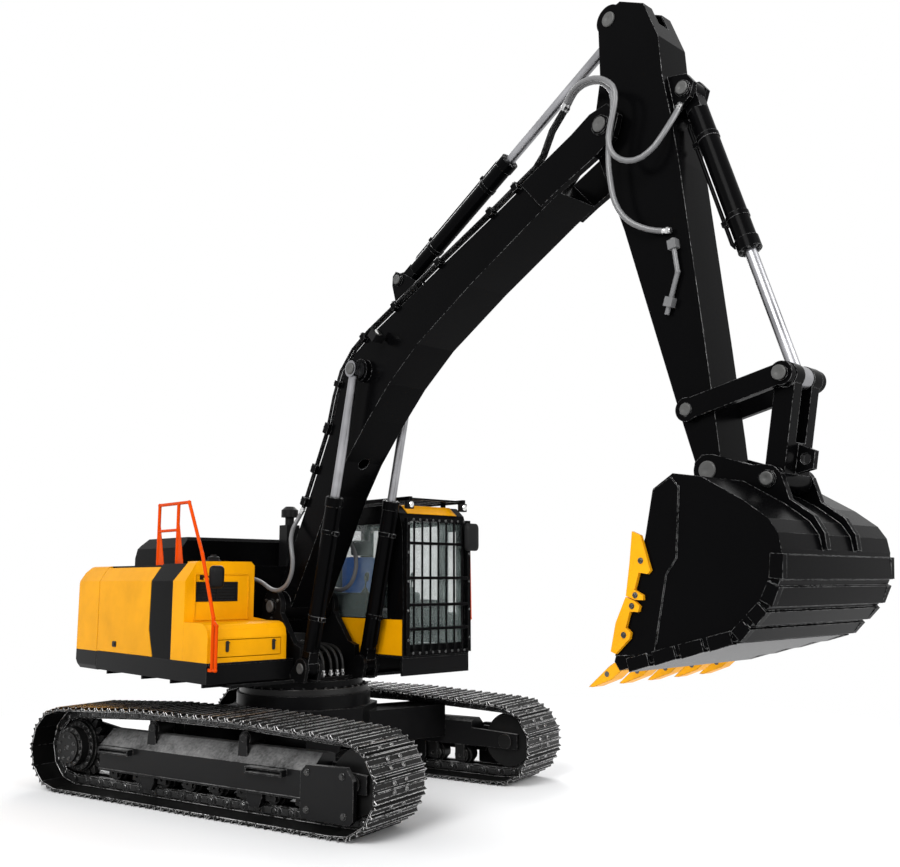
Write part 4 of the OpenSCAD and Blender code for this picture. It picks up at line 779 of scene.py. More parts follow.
def seat_points(name: str, seats: Sequence[Seat], along: Sequence[Vector] | None = None) -> bpy.types.Mesh:
    """Makes a carrier mesh of loose points with a turn for each.

    Args:
        name: Name of the mesh.
        seats: The points and their outward directions.
        along: Directions for the first axis, where they matter.

    Returns:
        A mesh of points with the attribute "turn".
    """
    mesh = bpy.data.meshes.new(name)
    mesh.from_pydata([tuple(s.place) for s in seats], [], [])
    turns = mesh.attributes.new("turn", "FLOAT_VECTOR", "POINT")
    for k, s in enumerate(seats):
        up = s.axis.normalized()
        first = along[k].normalized() if along else around(up)[0]
        basis = Matrix((first, up.cross(first), up)).transposed() @ Matrix.Rotation(s.turn, 3, "Z")
        turns.data[k].vector = basis.to_euler()
    return mesh


class Screws(GeometryTool):
    """Hex heads on round washers, one at each point."""

    NAME = "screw_heads"
    INPUTS = (("Head Radius", "NodeSocketFloat"), ("Head Height", "NodeSocketFloat"),
              ("Washer Radius", "NodeSocketFloat"), ("Washer Height", "NodeSocketFloat"))

    def wire(self, graph: Graph, given: bpy.types.NodeOutputs) -> bpy.types.NodeSocket:
        """Joins head and washer and sets one at each point."""
        head = graph.add("GeometryNodeMeshCylinder", {"Vertices": 6, "Radius": given["Head Radius"],
                                                      "Depth": given["Head Height"]}).outputs[0]
        washer = graph.add("GeometryNodeMeshCylinder", {"Vertices": 14, "Radius": given["Washer Radius"],
                                                        "Depth": given["Washer Height"]}).outputs[0]
        lift = graph.math("ADD", given["Washer Height"], graph.math("MULTIPLY", given["Head Height"], 0.5))
        seat = graph.math("MULTIPLY", given["Washer Height"], 0.5)
        return self.stamp(graph, given, ((head, 0.0, lift), (washer, 0.0, seat)))

    def set(self, name: str, seats: Sequence[Seat], radius: float, body: Body, slot: str,
            finish: Finish | None = None) -> bpy.types.Object:
        """Sets one size of screw on a body.

        Args:
            name: Name of the piece.
            seats: Where the screws go.
            radius: Radius of the hex head.
            body: The body that they ride on.
            slot: The record's material slot; not used.
            finish: Their finish, bolt steel where none is given.

        Returns:
            The piece with all the screws.
        """
        sizes = {"Head Radius": radius, "Head Height": 0.75 * radius, "Washer Radius": 1.45 * radius,
                 "Washer Height": 0.25 * radius}
        obj = self.grow(name, seat_points(name, seats), finish or Finishes.BOLT, sizes)
        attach(obj, body.value)
        report(obj)
        return obj


class ChainLinks(GeometryTool):
    """Rounded link plates with a pin head at one end, one at each point."""

    NAME = "chain_links"
    INPUTS = (("Pitch", "NodeSocketFloat"), ("Width", "NodeSocketFloat"), ("Thickness", "NodeSocketFloat"),
              ("Pin Radius", "NodeSocketFloat"), ("Pin Height", "NodeSocketFloat"))

    def wire(self, graph: Graph, given: bpy.types.NodeOutputs) -> bpy.types.NodeSocket:
        """Joins the plate, its round ends and the pin and sets one at each point."""
        half = graph.math("MULTIPLY", given["Pitch"], 0.5)
        back = graph.math("MULTIPLY", half, -1.0)
        height = graph.math("MULTIPLY", given["Width"], 0.72)
        size = graph.add("ShaderNodeCombineXYZ", {"X": given["Pitch"], "Y": height,
                                                  "Z": given["Thickness"]}).outputs[0]
        plate = graph.add("GeometryNodeMeshCube", {"Size": size}).outputs[0]
        end = graph.math("MULTIPLY", given["Width"], 0.5)
        eye = graph.add("GeometryNodeMeshCylinder", {"Vertices": 16, "Radius": end,
                                                     "Depth": given["Thickness"]}).outputs[0]
        pin = graph.add("GeometryNodeMeshCylinder", {"Vertices": 14, "Radius": given["Pin Radius"],
                                                     "Depth": given["Pin Height"]}).outputs[0]
        mid = graph.math("MULTIPLY", given["Thickness"], 0.5)
        raised = graph.math("MULTIPLY", given["Pin Height"], 0.5)
        return self.stamp(graph, given,
                          ((plate, 0.0, mid), (eye, half, mid), (eye, back, mid), (pin, half, raised)))


class HoseSweep(GeometryTool):
    """Round hose along a line of edges."""

    NAME = "hose_sweep"
    INPUTS = (("Radius", "NodeSocketFloat"),)

    def wire(self, graph: Graph, given: bpy.types.NodeOutputs) -> bpy.types.NodeSocket:
        """Turns the edges into a curve and sweeps a circle along it."""
        line = graph.add("GeometryNodeMeshToCurve", {0: given["Geometry"]}).outputs[0]
        ring = graph.add("GeometryNodeCurvePrimitiveCircle",
                         {"Resolution": 12, "Radius": given["Radius"]}).outputs[0]
        return graph.add("GeometryNodeCurveToMesh", {"Curve": line, "Profile Curve": ring,
                                                     "Fill Caps": True}).outputs[0]

    def lay(self, name: str, route: Sequence[Vector], radius: float, finish: Finish) -> bpy.types.Object:
        """Sweeps a hose along a route and gives an object that rides on nothing yet."""
        mesh = bpy.data.meshes.new(name)
        mesh.from_pydata([tuple(p) for p in route], [(k, k + 1) for k in range(len(route) - 1)], [])
        return self.grow(name, mesh, finish, {"Radius": radius})


@dataclass(frozen=True)
class Studio:
    """Camera, floor and lights of the picture."""

    place: Point = (7.170, -6.082, 2.045)
    yaw: float = 46.73
    pitch: float = 8.42
    roll: float = -0.11
    focal_px: float = 988.8
    width_px: float = 900.0
    sensor: float = 36.0
    floor_half: float = 60.0
    floor_colour: Colour = (0.95, 0.95, 0.95)
    shadow_fade: tuple[float, float] = (5.0, 9.0)
    ambient: float = 0.55

    def camera(self) -> None:
        """Sets the camera where the photograph was taken from."""
        yaw, pitch, roll = (math.radians(a) for a in (self.yaw, self.pitch, self.roll))
        forward = Vector((-math.sin(yaw) * math.cos(pitch), math.cos(yaw) * math.cos(pitch),
                          math.sin(pitch)))
        right = Vector((math.cos(yaw), math.sin(yaw), 0.0))
        up = right.cross(forward)
        right, up = right * math.cos(roll) + up * math.sin(roll), up * math.cos(roll) - right * math.sin(roll)
        data = bpy.data.cameras.new("photo_camera")
        data.sensor_width = self.sensor
        data.lens = self.focal_px / self.width_px * self.sensor
        data.clip_end = 500.0
        camera = bpy.data.objects.new("photo_camera", data)
        turn = Matrix((right, up, -forward)).transposed().to_4x4()
        camera.matrix_world = Matrix.Translation(Vector(self.place)) @ turn
        bpy.context.scene.collection.objects.link(camera)
        bpy.context.scene.camera = camera

    def floor(self) -> None:
        """Lays the white floor, which keeps the shadow near the machine and fades to plain white."""
        h = self.floor_half
        material = bpy.data.materials.new("studio_floor")
        material.use_nodes = True
        material.node_tree.nodes.clear()
        graph = Graph(material.node_tree)
        where = graph.add("ShaderNodeTexCoord").outputs["Object"]
        flat = graph.add("ShaderNodeVectorMath", {0: where, 1: (1.0, 1.0, 0.0)},
                         operation="MULTIPLY").outputs[0]
        far = graph.add("ShaderNodeVectorMath", {0: flat}, operation="LENGTH").outputs["Value"]
        ray = graph.add("ShaderNodeLightPath").outputs
        seen = graph.math("MAXIMUM", ray["Is Camera Ray"], graph.math("MAXIMUM", ray["Is Glossy Ray"],
                                                                      ray["Is Transmission Ray"]))
        share = graph.math("MULTIPLY", graph.ramp(far, *self.shadow_fade), seen)
        paint = graph.add("ShaderNodeBsdfPrincipled",
                          {"Base Color": rgba(self.floor_colour), "Roughness": 0.9})
        white = graph.add("ShaderNodeEmission", {"Color": (1.0, 1.0, 1.0, 1.0), "Strength": 1.0})
        both = graph.add("ShaderNodeMixShader", {0: share, 1: paint.outputs[0], 2: white.outputs[0]})
        graph.add("ShaderNodeOutputMaterial", {"Surface": both.outputs[0]})
        mesh = bpy.data.meshes.new("studio_floor")
        mesh.from_pydata([(-h, -h, -0.002), (h, -h, -0.002), (h, h, -0.002), (-h, h, -0.002)],
                         [], [(0, 1, 2, 3)])
        mesh.materials.append(material)
        obj = bpy.data.objects.new("studio_floor", mesh)
        bpy.context.scene.collection.objects.link(obj)

    def light(self) -> None:
        """Sets a pale world and large soft lamps."""
        world = bpy.data.worlds.new("studio")
        bpy.context.scene.world = world
        world.use_nodes = True
        graph = Graph(world.node_tree)
        world.node_tree.nodes.clear()
        ray = graph.add("ShaderNodeLightPath").outputs
        seen = graph.math("MAXIMUM", ray["Is Camera Ray"], graph.math("MAXIMUM", ray["Is Glossy Ray"],
                                                                      ray["Is Transmission Ray"]))
        plain = graph.add("ShaderNodeBackground",
                          {"Color": (0.92, 0.93, 0.95, 1.0), "Strength": self.ambient})
        white = graph.add("ShaderNodeBackground", {"Color": (1.0, 1.0, 1.0, 1.0), "Strength": 1.0})
        both = graph.add("ShaderNodeMixShader", {0: seen, 1: plain.outputs[0], 2: white.outputs[0]})
        graph.add("ShaderNodeOutputWorld", {"Surface": both.outputs[0]})
        for name, place, aim, size, power in (
                ("key", (6.0, -14.0, 13.0), (0.0, 0.0, 2.0), 9.0, 2600.0),
                ("side", (15.0, 3.0, 9.0), (0.5, 0.0, 2.5), 8.0, 1500.0),
                ("back", (-12.0, 9.0, 12.0), (-1.0, 0.0, 2.0), 9.0, 1500.0)):
            data = bpy.data.lights.new(name, "AREA")
            data.energy, data.size = power, size
            lamp = bpy.data.objects.new(name, data)
            lamp.location = place
            lamp.rotation_euler = (Vector(aim) - Vector(place)).to_track_quat("-Z", "Y").to_euler()
            bpy.context.scene.collection.objects.link(lamp)

    def build(self) -> None:
        """Builds the whole studio."""
        bpy.context.scene.view_settings.view_transform = "Standard"
        self.camera()
        self.floor()
        self.light()


@dataclass
class Hoses:
    """Free hoses between the house, the boom and the arm, with their fittings."""

    radius: float = 0.022
    small: float = 0.017
    sweep: HoseSweep = field(default_factory=HoseSweep)
    arm_long: tuple[Point, ...] = (
        (-0.375, -0.307, 0.21), (-0.417, -0.232, 0.225), (-0.43, -0.13, 0.26), (-0.39, 0.0, 0.30),
        (-0.30, 0.13, 0.32), (-0.17, 0.195, 0.32), (-0.02, 0.17, 0.32), (0.13, 0.09, 0.32),
        (0.27, 0.03, 0.32), (0.40, -0.01, 0.32), (0.54, -0.035, 0.32), (0.67, -0.047, 0.32),
        (0.80, -0.03, 0.31), (0.91, 0.02, 0.285), (1.00, 0.10, 0.25), (1.065, 0.19, 0.22),
        (1.10, 0.264, 0.208))
    arm_short: tuple[Point, ...] = (
        (-0.375, -0.307, 0.25), (-0.415, -0.232, 0.26), (-0.42, -0.11, 0.31), (-0.37, 0.04, 0.355),
        (-0.29, 0.16, 0.37), (-0.16, 0.245, 0.37), (-0.05, 0.24, 0.37), (0.06, 0.18, 0.37),
        (0.16, 0.115, 0.37), (0.26, 0.075, 0.37), (0.37, 0.085, 0.365), (0.46, 0.15, 0.345),
        (0.50, 0.25, 0.32), (0.47, 0.36, 0.285), (0.40, 0.45, 0.25), (0.31, 0.525, 0.20),
        (0.24, 0.565, 0.155), (0.17, 0.59, 0.112))
    loop: tuple[Point, ...] = (
        (0.257, 0.231, 2.781), (0.212, 0.245, 2.695), (0.195, 0.30, 2.59), (0.235, 0.36, 2.48),
        (0.295, 0.395, 2.36), (0.33, 0.40, 2.24), (0.31, 0.40, 2.11), (0.23, 0.40, 2.00),
        (0.10, 0.40, 1.945), (-0.05, 0.40, 1.955), (-0.22, 0.40, 2.02), (-0.40, 0.40, 2.06),
        (-0.56, 0.40, 2.06), (-0.70, 0.40, 2.04))
    deck: tuple[Point, ...] = (
        (0.42, 0.0, 1.09), (0.42, 0.0, 1.17), (0.405, 0.0, 1.255), (0.35, 0.0, 1.33), (0.25, 0.0, 1.372),
        (0.12, 0.0, 1.385), (-0.05, 0.0, 1.39), (-0.20, 0.0, 1.39), (-0.33, 0.0, 1.39))
    deck_sides: tuple[float, ...] = (-0.17, -0.085, 0.0, 0.085, 0.17)

    def lay(self, name: str, points: Sequence[Vector], radius: float,
            finish: Finish) -> tuple[bpy.types.Object, list[Vector]]:
        """Sweeps one hose along a smooth route.

        Args:
            name: Name of the piece.
            points: Points that the hose passes.
            radius: Radius of the hose.
            finish: Its finish.

        Returns:
            The hose, riding on nothing yet, and its route.
        """
        route = smooth_route(points, 36)
        return self.sweep.lay(name, route, radius, finish), route

    def declare(self, obj: bpy.types.Object) -> None:
        """Logs a laid hose."""
        report(obj)

    def arm_hoses(self) -> None:
        """Lays the hoses from the boom's pipes over the arm's pivot."""
        ends = {Body.BOOM: Sculpt(), Body.ARM: Sculpt()}
        for side, word in ((-1.0, "right"), (1.0, "left")):
            for points, kind in ((self.arm_long, "long"), (self.arm_short, "short")):
                places = [ARM_LINE.at(s, t, side * y) for s, t, y in points]
                obj, route = self.lay(f"{word}_arm_hose_{kind}", places, self.radius, Finishes.PAINTED_SHEEN_RUBBER)
                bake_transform(obj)
                self.declare(obj)
                ends[Body.BOOM].fitting(route[0], route[1] - route[0], 0.8 * self.radius)
                ends[Body.ARM].fitting(route[-1], route[-2] - route[-1], 0.8 * self.radius)
        end = ARM_LINE.at(1.13, 0.26, 0.18)
        along = ARM_LINE.at(1.0, 0.0) - ARM_LINE.at(0.0, 0.0)
        across = ARM_LINE.at(0.0, 1.0) - ARM_LINE.at(0.0, 0.0)
        corners = [end + along * a + across * b for a, b in
                   ((-0.035, -0.035), (0.045, -0.035), (0.045, 0.035), (-0.035, 0.035))]
        ends[Body.ARM].slab(corners, Vector((0.0, 0.056, 0.0)), 0.004)
        ends[Body.BOOM].piece("boom_hose_fittings", Finishes.SILVER, Body.BOOM, "rod_chrome")
        ends[Body.ARM].piece("arm_hose_fittings", Finishes.SILVER, Body.ARM, "rod_chrome")

    def house_hoses(self) -> None:
        """Lays the loops from the house to the foot of the boom and the row on the deck."""
        on_boom, on_house = Sculpt(), Sculpt()
        for side, word in ((-1.0, "right"), (1.0, "left")):
            obj, route = self.lay(f"{word}_boom_hose", [upper(x, side * y, z) for x, y, z in self.loop],
                                  self.radius, Finishes.PAINTED_SHEEN_RUBBER)
            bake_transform(obj)
            self.declare(obj)
            on_boom.fitting(route[0], route[1] - route[0], 0.85 * self.radius)
            on_house.fitting(route[-1], route[-2] - route[-1], 0.85 * self.radius)
        for number, side in enumerate(self.deck_sides):
            places = [upper(x + 0.03 * math.cos(9.0 * side), side, z) for x, _, z in self.deck[:-3]]
            places += [upper(x, side, z) for x, _, z in self.deck[-3:]]
            obj, route = self.lay(f"deck_hose_{number + 1}", places, self.small, Finishes.DARK_RUBBER)
            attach(obj, Body.UPPER.value)
            self.declare(obj)
            on_house.fitting(route[0], route[1] - route[0], 0.95 * self.small)
            on_house.fitting(route[-1], route[-2] - route[-1], 0.95 * self.small)
        on_boom.piece("boom_foot_fittings", Finishes.SILVER, Body.BOOM, "rod_chrome")
        on_house.piece("house_hose_fittings", Finishes.SILVER, Body.UPPER, "rod_chrome")

    def build(self) -> None:
        """Lays every hose."""
        self.arm_hoses()
        self.house_hoses()


@dataclass
class TrackLoop:
    """The closed line of a track on the inner face of its shoes, from the slew axis."""

    radius: float = 0.365
    axle: float = 0.405
    rear: float = -1.79
    front: float = 1.74
    top: float = 0.825
    carrier_rear: float = -0.67
    carrier_front: float = 0.50
    wanted: float = 0.19

    def pins(self) -> list[tuple[float, float]]:
        """Corners of the loop, one for each shoe.

        Returns:
            Along and up places of the corners, anticlockwise seen from the right.
        """
        def tangent(cx: float, ex: float, way: float) -> float:
            """Angle where the line from a carrier meets an end wheel."""
            dx, dz = ex - cx, self.top - self.axle
            return math.atan2(dz, dx) + way * math.acos(self.radius / math.hypot(dx, dz))

        def on(cx: float, a: float) -> tuple[float, float]:
            """Point of an end wheel at an angle."""
            return (cx + self.radius * math.cos(a), self.axle + self.radius * math.sin(a))

        high, low = tangent(self.front, self.carrier_front, -1.0), tangent(self.rear, self.carrier_rear, 1.0)
        fine: list[tuple[float, float]] = [(self.rear, self.axle - self.radius)]
        fine += [on(self.front, -0.5 * math.pi + (high + 0.5 * math.pi) * k / 200.0) for k in range(201)]
        fine += [(self.carrier_front, self.top), (self.carrier_rear, self.top)]
        fine += [on(self.rear, low + (1.5 * math.pi - low) * k / 200.0) for k in range(201)]
        gone = [0.0]
        for p, q in zip(fine, fine[1:]):
            gone.append(gone[-1] + math.dist(p, q))
        count = round(gone[-1] / self.wanted)
        found, at = [], 0
        for k in range(count):
            want = gone[-1] * k / count + 0.001
            while gone[at + 1] < want:
                at += 1
            share = (want - gone[at]) / (gone[at + 1] - gone[at])
            found.append(tuple(p + (q - p) * share for p, q in zip(fine[at], fine[at + 1])))
        return found


@dataclass
class Undercarriage:
    """Chain links, shoe bolts and hub bolts of the tracks."""

    rail_face: float = 0.096
    link_inset: float = 0.050
    link_width: float = 0.078
    shoe: float = 0.014
    loop: TrackLoop = field(default_factory=TrackLoop)

    def place(self, side: float, x: float, y: float, z: float) -> Vector:
        """Point of one track, with y counted outwards as negative."""
        return lower(x, side * (GAUGE / 2.0 + (-y)), z)

    def links(self, side: float, word: str) -> None:
        """Sets the link plates with their pins along one track.

        Args:
            side: -1 for the right track, 1 for the left one.
            word: Name of the side.
        """
        pins = self.loop.pins()
        count = len(pins)
        seats, along, bolts = [], [], []
        for k in range(count):
            a, b, c, d = (pins[(k + n) % count] for n in (-1, 0, 1, 2))

            def inner(p: tuple[float, float], q: tuple[float, float],
                      r: tuple[float, float]) -> tuple[float, float]:
                """Corner moved inwards by the link's inset."""
                n = [((v[1] - u[1]) / math.dist(u, v), -(v[0] - u[0]) / math.dist(u, v))
                     for u, v in ((p, q), (q, r))]
                m = (n[0][0] + n[1][0], n[0][1] + n[1][1])
                size = math.hypot(*m)
                return (q[0] - self.link_inset * m[0] / size, q[1] - self.link_inset * m[1] / size)

            p, q = inner(a, b, c), inner(b, c, d)
            for face in (-self.rail_face, self.rail_face):
                seats.append(Seat(self.place(side, (p[0] + q[0]) / 2.0, face, (p[1] + q[1]) / 2.0),
                                  lower_dir(0.0, side * (-face), 0.0)))
                along.append(self.place(side, q[0], face, q[1]) - self.place(side, p[0], face, p[1]))
            size = math.dist(b, c)
            dx, dz = (c[0] - b[0]) / size, (c[1] - b[1]) / size
            for reach in (0.058, size - 0.058):
                x, z = b[0] + dx * reach + dz * self.shoe, b[1] + dz * reach - dx * self.shoe
                bolts += [Seat(self.place(side, x, y, z), lower_dir(dz, 0.0, -dx)) for y in (-0.085, 0.085)]
        pitch = sum(v.length for v in along) / len(along)
        tool = ChainLinks()
        obj = tool.grow(f"{word}_chain_links", seat_points(f"{word}_chain_links", seats, along),
                        Finishes.LINK,
                        {"Pitch": pitch - 0.5 * self.link_width, "Width": self.link_width,
                         "Thickness": 0.007, "Pin Radius": 0.021, "Pin Height": 0.012})
        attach(obj, Body.UNDER.value)
        report(obj)
        Screws().set(f"{word}_shoe_bolts", bolts, 0.014, Body.UNDER, "track_steel", Finishes.TRACK)

    def hubs(self, side: float, word: str) -> None:
        """Bolts the drive hub, its cover and the front guard of one track."""
        out = lower_dir(0.0, side, 0.0)
        seats = []
        for radius, count, face in ((0.215, 20, -0.095), (0.170, 16, -0.185), (0.112, 8, -0.215)):
            for k in range(count):
                a = 2.0 * math.pi * (k + 0.5) / count
                seats.append(Seat(self.place(side, self.loop.rear + radius * math.cos(a), face,
                                             self.loop.axle + radius * math.sin(a)), out, a))
        Screws().set(f"{word}_hub_bolts", seats, 0.013, Body.UNDER, "wheel_iron")
        guard = [Seat(self.place(side, x, -0.215, z), out) for x, z in
                 ((1.31, 0.47), (1.31, 0.17), (1.70, 0.16), (1.68, 0.47))]
        Screws().set(f"{word}_guard_bolts", guard, 0.020, Body.UNDER, "frame_black")
        plug = Sculpt().turned(self.place(side, self.loop.rear, -0.190, self.loop.axle), out,
                               ((0.027, 0.0), (0.027, 0.020), (0.020, 0.026), (0.012, 0.026),
                                (0.010, 0.021)), 12)
        plug.piece(f"{word}_hub_plug", Finishes.BOLT, Body.UNDER, "wheel_iron")

    def build(self) -> None:
        """Dresses both tracks."""
        for side, word in ((-1.0, "right"), (1.0, "left")):
            self.links(side, word)
            self.hubs(side, word)


def rounded(low: tuple[float, float], high: tuple[float, float], radius: float,
            steps: int = 5) -> list[tuple[float, float]]:
    """Outline of a rectangle with round corners."""
    found = []
    for cx, cy, start in ((high[0] - radius, high[1] - radius, 0.0),
                          (low[0] + radius, high[1] - radius, 90.0),
                          (low[0] + radius, low[1] + radius, 180.0),
                          (high[0] - radius, low[1] + radius, 270.0)):
        for k in range(steps + 1):
            a = math.radians(start + 90.0 * k / steps)
            found.append((cx + radius * math.cos(a), cy + radius * math.sin(a)))
    return found


@dataclass
class House:
    """Small fittings of the house: mirrors, latches, caps, pins, bolts and locks."""

    half: float = 1.367

    def mirrors(self) -> None:
        """Replaces the plain mirrors by shells with their faces and stays."""
        shells, faces = Sculpt(), Sculpt()
        for x, low, high in ((0.195, (-1.255, 1.97), (-1.10, 2.185)), (1.09, (1.247, 2.35), (1.447, 2.64))):
            outline = rounded(low, high, 0.045)
            middle = Vector((0.0, (low[0] + high[0]) / 2.0, (low[1] + high[1]) / 2.0))
            rings = []
            for depth, size in ((0.0, 0.93), (0.003, 1.0), (0.018, 1.0), (0.030, 0.90), (0.038, 0.68),
                                (0.040, 0.40)):
                rings.append([upper(x + depth, middle.y + (y - middle.y) * size,
                                    middle.z + (z - middle.z) * size)
                              for y, z in outline])
            shells.loft(rings)
            faces.slab([upper(x + 0.001, middle.y + (y - middle.y) * 0.86, middle.z + (z - middle.z) * 0.9)
                        for y, z in outline], Vector((-0.004, 0.0, 0.0)), 0.002)
        shells.tube([upper(-0.05, -1.196, 2.079), upper(0.05, -1.196, 2.079), upper(0.15, -1.196, 2.079),
                     upper(0.20, -1.19, 2.079)], 0.010)
        shells.block(upper(-0.05, -1.214, 2.05), upper(-0.043, -1.178, 2.108))
        shells.block(upper(1.072, 1.322, 2.45), upper(1.095, 1.352, 2.55))
        obj = shells.piece("mirror_shells", Finishes.PLASTIC, Body.UPPER, "black_plastic", 50.0)
        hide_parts("mirrors")
        faces.piece("mirror_faces", Finishes.CHROME, Body.UPPER, "rod_chrome")

    def caps(self) -> None:
        """Adds the filler cap, the boom foot pins and the bolts round these pins and under the rail posts."""
        cap = Sculpt().turned(upper(-0.17, -1.0, 2.229), Vector((0.0, 0.0, 1.0)),
                              ((0.075, 0.0), (0.075, 0.012), (0.058, 0.016), (0.058, 0.040), (0.050, 0.050),
                               (0.020, 0.053)), 28)
        cap.block(upper(-0.21, -1.012, 2.278), upper(-0.13, -0.988, 2.296), 0.005)
        cap.piece("tank_cap", Finishes.PLASTIC, Body.UPPER, "black_plastic")
        pins = Sculpt()
        screws = []
        for side in (-1.0, 1.0):
            out = Vector((0.0, side, 0.0))
            pins.disc(upper(-0.08, side * 0.384, 1.78), out, 0.062, 0.016)
            pins.disc(upper(0.57, side * 0.452, 1.20), out, 0.052, 0.012)
            screws += [Seat(upper(-0.08 + 0.12 * math.cos(a), side * 0.366, 1.78 + 0.12 * math.sin(a)), out)
                       for a in (math.radians(d) for d in (30.0, 150.0, 270.0))]
        pins.piece("house_pins", Finishes.PIN, Body.UPPER, "ring_steel")
        for x in (-0.93, -0.525):
            screws += [Seat(upper(x + 0.05 * k, -1.181, 2.2), Vector((0.0, 0.0, 1.0))) for k in (0.0, 1.0)]
        Screws().set("house_bolts", screws, 0.012, Body.UPPER, "frame_black")

    def latches(self) -> None:
        """Adds the lid's rubber latches and the locks of the side doors."""
        lid = Sculpt()
        for y in (-1.16, -0.654):
            outline = [upper(0.403, y + a, z) for a, z in rounded((-0.016, 1.385), (0.016, 1.488), 0.012, 3)]
            lid.slab(outline, Vector((0.012, 0.0, 0.0)), 0.004)
            lid.tube([upper(0.415, y - 0.020, 1.470), upper(0.422, y - 0.010, 1.472),
                      upper(0.422, y + 0.010, 1.472), upper(0.415, y + 0.020, 1.470)], 0.006, 8)
        lid.piece("lid_latches", Finishes.DARK_RUBBER, Body.LID, "black_plastic")
        for side, body, x in ((-1.0, Body.RIGHT_DOOR, -1.52), (1.0, Body.LEFT_DOOR, -0.86)):
            out = Vector((0.0, side, 0.0))
            lock = Sculpt()
            plate = [upper(x + a, side * self.half, 1.383 + b)
                     for a, b in rounded((-0.045, -0.030), (0.045, 0.030), 0.014, 3)]
            lock.slab(plate, out * 0.007, 0.002)
            lock.turned(upper(x + 0.018, side * (self.half + 0.006), 1.383), out,
                        ((0.016, 0.0), (0.016, 0.006), (0.012, 0.009), (0.004, 0.009), (0.003, 0.006)), 18)
            lock.piece(f"{body.value}_lock", Finishes.PLASTIC, body, "black_plastic")

    def build(self) -> None:
        """Dresses the house."""
        self.mirrors()
        self.caps()
        self.latches()


@dataclass(frozen=True)
class Cushion:
    """A sewn pad: crowned, with sides that pull in and channels across."""

    name: str
    low: Point
    high: Point
    face: int
    crown: float
    channels: tuple[float, ...]

    def build(self, finish: Finish) -> bpy.types.Object:
        """Shapes the pad, subdivides it and applies the subdivision.

        Args:
            finish: The cover's finish.

        Returns:
            The padded piece, riding on the house.
        """
        work = bmesh.new()
        bmesh.ops.create_cube(work, size=2.0)
        bmesh.ops.subdivide_edges(work, edges=work.edges, cuts=15, use_grid_fill=True)
        others = [axis for axis in range(3) if axis != self.face]
        for vert in work.verts:
            p = vert.co / (sum(abs(c) ** 7 for c in vert.co) ** (1.0 / 7.0))
            a, b = (p[axis] for axis in others)
            bulge = (1.0 - a * a) * (1.0 - b * b)
            top = max(p[self.face], 0.0)
            sewn = sum(math.exp(-((b - c) / 0.05) ** 2) for c in self.channels)
            q = p.copy()
            q[self.face] += top * (self.crown * bulge - 0.16 * sewn * (1.0 - a ** 6))
            q[others[0]] *= 1.0 - 0.045 * (1.0 - b * b)
            q[others[1]] *= 1.0 - 0.035 * (1.0 - a * a)
            vert.co = upper(*((lo + hi) / 2.0 + c * (hi - lo) / 2.0
                              for lo, hi, c in zip(self.low, self.high, q)))
        mesh = bpy.data.meshes.new(self.name)
        bmesh.ops.recalc_face_normals(work, faces=work.faces)
        work.to_mesh(mesh)
        work.free()
        mesh.materials.append(finish.material())
        obj = bpy.data.objects.new(self.name, mesh)
        bpy.context.scene.collection.objects.link(obj)
        soft = obj.modifiers.new("soft", "SUBSURF")
        soft.levels = soft.render_levels = 1
        bpy.context.view_layer.update()
        made = bpy.data.meshes.new_from_object(obj.evaluated_get(bpy.context.evaluated_depsgraph_get()))
        obj.modifiers.clear()
        obj.data = made
        for polygon in made.polygons:
            polygon.use_smooth = True
        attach(obj, Body.UPPER.value)
        report(obj)
        return obj


